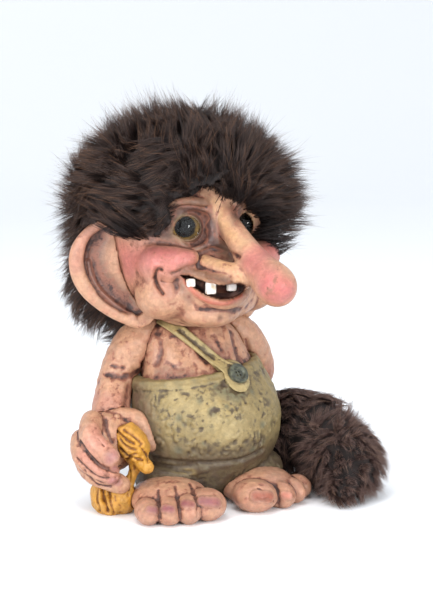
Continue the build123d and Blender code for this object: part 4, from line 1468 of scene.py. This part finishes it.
# %% Hairs
HAIR_WIDTH = 0.135 * MM
HAIR_SHARES = (0.0, 0.42, 0.78)
HAIR_WIDTHS = (1.0, 0.85, 0.5)
HAIR_HEIGHTS = (0.02, 0.42, 0.78, 0.98)
HAIR_POINTS = 10
FELT_VOXEL = 1.2 * MM
AT_ONCE = 4000


def unit(ways):
    """Give ways the length one."""
    return ways / np.linalg.norm(ways, axis=-1, keepdims=True)


def along_hair(share, roots, bends, tips):
    """Give the places at one share of the way along the bent hairs."""
    return (1 - share) ** 2 * roots + 2 * share * (1 - share) * bends + share**2 * tips


def spikes(name, roots, bends, tips, widths, tones):
    """Build many hairs as one mesh: three three-sided rings and a point for each hair."""
    count = len(roots)
    way = unit(tips - roots)
    helper = np.where(np.abs(way[:, 2:3]) < 0.9, np.array([[0.0, 0.0, 1.0]]), np.array([[1.0, 0.0, 0.0]]))
    side = unit(np.cross(way, helper))
    other = np.cross(way, side)
    points = np.empty((count, HAIR_POINTS, 3))
    for ring, (share, width) in enumerate(zip(HAIR_SHARES, HAIR_WIDTHS)):
        centre = along_hair(share, roots, bends, tips)
        for corner in range(3):
            angle = math.radians(120 * corner)
            out = side * math.cos(angle) + other * math.sin(angle)
            points[:, ring * 3 + corner] = centre + out * (widths * width)[:, None]
    points[:, -1] = tips
    quads = []
    for ring in (0, 3):
        for corner in range(3):
            after = (corner + 1) % 3
            quads.append((ring + corner, ring + after, ring + 3 + after, ring + 3 + corner))
    triangles = [(0, 2, 1)] + [(6 + corner, 6 + (corner + 1) % 3, 9) for corner in range(3)]
    corners = np.array([index for face in quads + triangles for index in face])
    sizes = np.array([4] * len(quads) + [3] * len(triangles))
    starts = np.concatenate([[0], np.cumsum(sizes)[:-1]])
    step = np.arange(count)[:, None]
    mesh = bpy.data.meshes.new(name)
    mesh.vertices.add(count * HAIR_POINTS)
    mesh.vertices.foreach_set("co", points.ravel())
    mesh.loops.add(count * len(corners))
    mesh.loops.foreach_set("vertex_index", (corners + step * HAIR_POINTS).ravel().astype(np.int32))
    mesh.polygons.add(count * len(sizes))
    mesh.polygons.foreach_set("loop_start", (starts + step * len(corners)).ravel().astype(np.int32))
    heights = np.array([HAIR_HEIGHTS[point // 3] for point in range(HAIR_POINTS)])
    layer = mesh.uv_layers.new(name="OFBake")
    uv = np.empty((count, len(corners), 2))
    uv[:, :, 0] = tones[:, None]
    uv[:, :, 1] = heights[corners]
    layer.data.foreach_set("uv", uv.ravel())
    mesh.update(calc_edges=True)
    mesh.validate()
    piece = bpy.data.objects.new(name, mesh)
    bpy.context.scene.collection.objects.link(piece)
    return piece


def scattered(node, keep_off, gap, count, random):
    """Scatter places over the outside of a fur solid, away from what it grows on."""
    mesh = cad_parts[node].data
    mesh.calc_loop_triangles()
    corners = np.array([[mesh.vertices[i].co for i in t.vertices] for t in mesh.loop_triangles], float)
    middle = corners.mean(axis=1)
    tree = surface_of(*[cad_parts[other].data for other in keep_off])
    free = np.array([tree.find_nearest(Vector(place))[3] > gap for place in middle])
    corners = corners[free]
    area = np.linalg.norm(np.cross(corners[:, 1] - corners[:, 0], corners[:, 2] - corners[:, 0]), axis=1)
    chosen = random.choice(len(corners), size=count, p=area / area.sum())
    a, b = random.random((2, count, 1))
    flip = (a + b) > 1
    a, b = np.where(flip, 1 - a, a), np.where(flip, 1 - b, b)
    picked = corners[chosen]
    return picked[:, 0] + a * (picked[:, 1] - picked[:, 0]) + b * (picked[:, 2] - picked[:, 0])


def tufted(tips, ways, tuft_count, lean, spread, pull, random):
    """Let hairs lean together in tufts: each tuft has its lean and its reach, and draws its tips in."""
    seeds = random.choice(len(tips), size=tuft_count, replace=False)
    nearest = np.empty(len(tips), int)
    for start in range(0, len(tips), AT_ONCE):
        part = tips[start:start + AT_ONCE]
        gap = ((part[:, None, :] - tips[seeds][None, :, :]) ** 2).sum(axis=2)
        nearest[start:start + AT_ONCE] = gap.argmin(axis=1)
    leans = random.normal(size=(tuft_count, 3)) * lean
    reaches = random.normal(size=tuft_count) * spread
    drawn = tips + (tips[seeds][nearest] - tips) * pull
    return drawn, unit(ways + leans[nearest]), reaches[nearest]


def widths_and_tones(guard, random):
    """Give each hair its width and its tone; the longer guard hairs are thin and ginger."""
    count = len(guard)
    widths = HAIR_WIDTH * random.uniform(0.7, 1.25, count) * np.where(guard, 0.6, 1.0)
    tones = random.uniform(0.02, 0.80, count)
    tones[guard] = random.uniform(0.80, 0.98, guard.sum())
    return widths, tones


def felt_body(name, node, voxel, sink):
    """Make the felt under a coat: the frame's fur, sunk and rubbed smooth."""
    body = remeshed(cast(name, node), voxel, 4)
    applied(body, "DISPLACE", strength=-sink, mid_level=0.0)
    return remeshed(body, FELT_VOXEL, 3)


print("hair helpers ready")

# %% [markdown]
# ## Wig
# The pile leaves the face and the right ear's dish free. Both are outlines on the photograph: a point in
# front of the skin inside such an outline hides it. Points that hide the face are combed sideways to just
# past the hairline, and a hair that still hides the face or an ear is left out. A few stray hairs may
# cross the face.

# %% Wig: where the skin stays bare
EAR_SEAT = np.array((31.0, -4.0)) * MM
EAR_FRONT = np.array((0.5, -0.866))
EAR_MARGIN = 1.5 * MM
EAR_TOP = 114 * MM
LEFT_EAR_TOP = 102 * MM
HAIRLINE = 20
EAR_WINDOW = [
    (97, 226), (110, 242), (121, 247), (130, 262), (140, 290), (150, 322), (140, 330), (112, 319),
    (92, 304), (77, 291), (68, 270), (72, 246), (82, 231),
]
FACE_WINDOW = [
    (98, 226), (110, 242), (121, 247), (140, 243), (158, 234), (170, 222), (167, 203), (186, 193), (200, 185),
    (212, 185), (224, 194), (236, 197), (242, 202), (250, 206), (258, 216), (262, 231), (268, 238),
    (276, 244), (280, 256), (286, 268), (300, 300), (240, 330), (150, 330), (100, 300), (80, 260),
]
SKIN_GAP = 0.3 * MM
to_head = np.array(HEAD_FRAME.inverted().to_3x3())


def as_in_head(points):
    """Give points in the head's own frame."""
    return (points - np.array(HEAD_ORIGIN)) @ to_head.T


def before_ear(points):
    """Tell which points lie in front of an ear's leaf."""
    own = as_in_head(points)
    aside = np.stack([np.abs(own[:, 0]), own[:, 1]], axis=1)
    top = np.where(own[:, 0] > 0, LEFT_EAR_TOP, EAR_TOP)
    ahead = (aside - EAR_SEAT) @ EAR_FRONT > -EAR_MARGIN
    return ahead & (aside[:, 0] > EAR_SEAT[0]) & (own[:, 2] < top)


def hiding(points, skin, window):
    """Give the skin's distance behind the points that hide it inside a window on the photograph, else 0."""
    behind = np.zeros(len(points))
    for i in np.flatnonzero(inside_outline(on_photo(points), np.array(window, float))):
        way = Vector(points[i]) - Vector(CAMERA_PLACE)
        reach = skin.ray_cast(Vector(CAMERA_PLACE), way)[3]
        if reach is not None and way.length < reach - SKIN_GAP:
            behind[i] = reach
    return behind


def before_face(points):
    """Give the face's distance behind the points that hide it from the camera, else 0."""
    return hiding(points, head.surface, FACE_WINDOW)


def combed_aside(points, spread, random):
    """Comb the points that hide the bare face sideways on the photograph, to just past the hairline."""
    chosen = np.flatnonzero(before_face(points) > 0)
    line = np.array(FACE_WINDOW[:HAIRLINE], float)
    pixels = on_photo(points[chosen])
    along = line[1:] - line[:-1]
    share = ((pixels[:, None] - line[None, :-1]) * along).sum(axis=2) / (along**2).sum(axis=1)
    near = line[:-1] + np.clip(share, 0, 1)[:, :, None] * along
    best = np.linalg.norm(pixels[:, None] - near, axis=2).argmin(axis=1)
    target = near[np.arange(len(chosen)), best]
    past = unit(target - pixels) * (1 + random.exponential(spread, len(chosen)))[:, None]
    shift = target + past - pixels
    axes = np.array(camera.matrix_world.to_3x3())
    depth = (camera_point - points[chosen]) @ axes[:, 2]
    aside = shift[:, :1] * axes[:, 0] - shift[:, 1:] * axes[:, 1]
    combed = points.copy()
    combed[chosen] += aside * (depth / FOCAL_PIXELS)[:, None]
    return combed


print("face outline", len(FACE_WINDOW), "corners")

# %% [markdown]
# Each hair's way is worked out first: it leans out from the skull, away from the face in front and
# downwards at the sides, and its tuft bends it. Its root is found last, back along the hair and inwards.

# %% Wig: how the hairs lie
WIG_HAIRS = 54000
BIG_TUFTS = (130, 0.32, 2.1 * MM, 0.04)
SMALL_TUFTS = (1000, 0.17, 0.7 * MM, 0.30)
SKULL_MIDDLE = Vector((0.0, 6.0, 112.0)) * MM
SKULL_SIZES = np.array((52.0, 47.0, 56.0)) * MM
FACE_MIDDLE = Vector((0.0, -40.0, 122.0)) * MM
FACE_DEPTH = 12 * MM
DOWN = np.array((0, 0, -0.72))
HAIR_LENGTHS = (20, 28)
GUARD_SHARE = 0.12
CROWN_RISE = 2.5
LYING = 0.55
UPRIGHT = 0.12


def roots_of(tips, ways, outward, lengths, over, lying):
    """Find the roots: a share of each hair lies along the coat, and the rest goes down into it."""
    along = ways * ((lengths + over) * lying)[:, None]
    return tips - along - outward * (lengths * (1 - lying))[:, None]


random = np.random.default_rng(SEED)
places = scattered("wig_fur", ["wig_backing", "torso", "right_arm", "left_arm"], 1.2 * MM, WIG_HAIRS, random)
in_head = as_in_head(places)
clear = ~before_ear(places)
places = places[clear]
in_head = in_head[clear]
count = len(places)
radial = unit((in_head - np.array(SKULL_MIDDLE)) / SKULL_SIZES**2)
fall = 1 - np.clip(radial[:, 2:3], 0, 1)
around_face = np.clip(1.4 + 2.2 * -radial[:, 1:2], 0, 1) * np.clip(-in_head[:, 1:2] / FACE_DEPTH, 0, 1)
off_face = in_head - np.array(FACE_MIDDLE)
off_face -= radial * (off_face * radial).sum(axis=1)[:, None]
flow = unit(off_face) * around_face * 0.55 + DOWN * fall * (1 - 0.6 * around_face)
ways = unit(radial + flow) @ to_head
tips, ways, big_reach = tufted(places, ways, *BIG_TUFTS, random)
tips, ways, small_reach = tufted(tips, ways, *SMALL_TUFTS, random)
ways = unit(ways + random.normal(size=ways.shape) * 0.09)
lengths = random.uniform(*HAIR_LENGTHS, count) * MM
crown = np.clip(radial[:, 2] * 2 - 1, 0, 1)
guard = random.random(count) < GUARD_SHARE
over = big_reach + small_reach + random.uniform(-1.5, 4.5, count) * MM + crown * CROWN_RISE * MM
over += guard * random.uniform(1.0, 8.0, count) * MM
tips = tips + ways * over[:, None]
outward = radial @ to_head
lying_roots = roots_of(tips, ways, outward, lengths, over, LYING)
lying = np.where(before_face(lying_roots) > 0, UPRIGHT, LYING)
roots = roots_of(tips, ways, outward, lengths, over, lying)
print("hairs", count)

# %% Wig: hairs
WIG_PARTS = ("right_back", "right", "right_front", "left_front", "left_back")
ROOT_SPREAD = 5
TIP_SPREAD = 3
BEND = 0.55
STRAYS = 0.02
HAIR_CHECKS = (0.2, 0.4, 0.6, 0.8, 1.0)
roots = combed_aside(roots, ROOT_SPREAD, random)
tips = combed_aside(tips, TIP_SPREAD, random)
bends = combed_aside(roots + outward * (lengths * BEND)[:, None], ROOT_SPREAD, random)
widths, tones = widths_and_tones(guard, random)
turn = np.arctan2(in_head[:, 1], in_head[:, 0])
stray = random.random(count) < STRAYS
hidden = np.zeros(count, bool)
for share in HAIR_CHECKS:
    spots = along_hair(share, roots, bends, tips)
    hidden |= before_ear(spots) | (hiding(spots, right_ear.surface, EAR_WINDOW) > 0)
    hidden |= (before_face(spots) > 0) & ~stray
print("hairs dropped", int(hidden.sum()))
kept = np.flatnonzero(~hidden)
order = kept[np.argsort(turn[kept])]
for side, part in zip(WIG_PARTS, np.array_split(order, len(WIG_PARTS))):
    piece = spikes("wig_hair_" + side, roots[part], bends[part], tips[part], widths[part], tones[part])
    settled(piece, wig_hair, "fur", "figure", "wig_fur")

# %% [markdown]
# Dark felt stands for the thick pile between the tufts; its near black is the fur's own dark colour with
# painted shade deep in the pile. It is the frame's fur, sunk and drawn in towards the backing, and where it
# would still hide the face it is laid just behind the skin.

# %% Wig: felt
FELT_PILE = 3.0 * MM
FELT_DRAW = 4.0 * MM
FELT_BEHIND = 1.0 * MM
body = felt_body("wig_felt", "wig_fur", 1.5 * MM, 4.2 * MM)
felt_clay = Clay(body, DARK_AND_SHADE)
scalp = surface_of(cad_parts["wig_backing"].data)
skull_place = np.array(from_head(SKULL_MIDDLE))
for i, place in enumerate(felt_clay.points):
    thick = scalp.find_nearest(Vector(place))[3]
    inward = (skull_place - place) / np.linalg.norm(skull_place - place)
    felt_clay.points[i] += inward * min(max(thick - FELT_PILE, 0), FELT_DRAW)
felt_clay.write()
roughened(body, 5.0 * MM, 2.0 * MM)
felt_clay.look()
skin = before_face(felt_clay.points)
on_face = skin > 0
sights = unit(felt_clay.points - camera_point)
felt_clay.points[on_face] = (camera_point + sights * (skin + FELT_BEHIND)[:, None])[on_face]
felt_clay.write()
settled(body, felt, "fur", "figure", "wig_fur")
painted(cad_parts["wig_backing"], felt)

# %% [markdown]
# ## Tail
# The tail's hairs lean in tufts too. Near the root they follow the tail's bent line, and in the brush at
# its end they turn out from one whorl. No hair may dip below the floor.

# %% Tail
TAIL_HAIRS = 20000
TAIL_BIG_TUFTS = (60, 0.22, 1.2 * MM, 0.05)
TAIL_SMALL_TUFTS = (420, 0.14, 0.6 * MM, 0.32)
TAIL_SHIFT = np.array((-0.0049, 0.0036, 0))
TAIL_LINE = np.array([
    (0.330, 0.180, 0.190), (0.440, 0.100, 0.205), (0.525, -0.030, 0.200),
    (0.560, -0.180, 0.168), (0.550, -0.320, 0.138), (0.520, -0.430, 0.108), (0.440, -0.510, 0.072),
]) * 0.1 + TAIL_SHIFT
TAIL_PARTS = ("tail_hair_root", "tail_hair_brush")
TAIL_LENGTHS = (12, 18)
TAIL_GUARD_SHARE = 0.10
TAIL_BEND = 0.45
WHORL = np.array((50.1, -18.4, 20.0)) * MM
ROOT_LOBE = 0.42
LOW_TIP = 0.4 * MM
LOW_HAIR = 0.6 * MM
places = scattered("tail_fur", ["tail_core", "dungarees", "left_foot"], 1.5 * MM, TAIL_HAIRS, random)
line = curve_through(TAIL_LINE, 10)
nearest = ((places[:, None, :] - line[None, :, :]) ** 2).sum(axis=2).argmin(axis=1)
tangent = unit(np.gradient(line, axis=0))[nearest]
radial = unit(places - line[nearest])
from_whorl = unit(places - WHORL)
in_root_lobe = (nearest < ROOT_LOBE * len(line))[:, None]
ways = unit(np.where(in_root_lobe, 0.75 * tangent + 0.5 * radial, 0.9 * from_whorl + 0.35 * radial))
ways[:, 2] -= 0.12
tips, ways, big_reach = tufted(places, ways, *TAIL_BIG_TUFTS, random)
tips, ways, small_reach = tufted(tips, ways, *TAIL_SMALL_TUFTS, random)
ways = unit(ways + random.normal(size=ways.shape) * 0.10)
lengths = random.uniform(*TAIL_LENGTHS, TAIL_HAIRS) * MM
guard = random.random(TAIL_HAIRS) < TAIL_GUARD_SHARE
over = big_reach + small_reach + random.uniform(-2.0, 3.0, TAIL_HAIRS) * MM
over += guard * random.uniform(0.5, 4.5, TAIL_HAIRS) * MM
tips = tips + ways * over[:, None]
tips[:, 2] = np.maximum(tips[:, 2], LOW_TIP)
roots = tips - ways * (lengths + over)[:, None] * 0.6 - radial * (lengths * 0.3)[:, None]
roots[:, 2] = np.maximum(roots[:, 2], LOW_HAIR)
bends = roots + radial * (lengths * TAIL_BEND)[:, None]
bends[:, 2] = np.maximum(bends[:, 2], LOW_HAIR)
widths, tones = widths_and_tones(guard, random)
order = np.argsort(nearest, kind="stable")
for name, part in zip(TAIL_PARTS, np.array_split(order, len(TAIL_PARTS))):
    piece = spikes(name, roots[part], bends[part], tips[part], widths[part], tones[part])
    settled(piece, tail_hair, "tail_fur", "tail", "tail_fur")
body = felt_body("tail_felt", "tail_fur", 1.2 * MM, 4.0 * MM)
roughened(body, 4.0 * MM, 2.0 * MM)
settled(body, felt, "tail_fur", "tail", "tail_fur")
painted(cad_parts["tail_core"], felt)
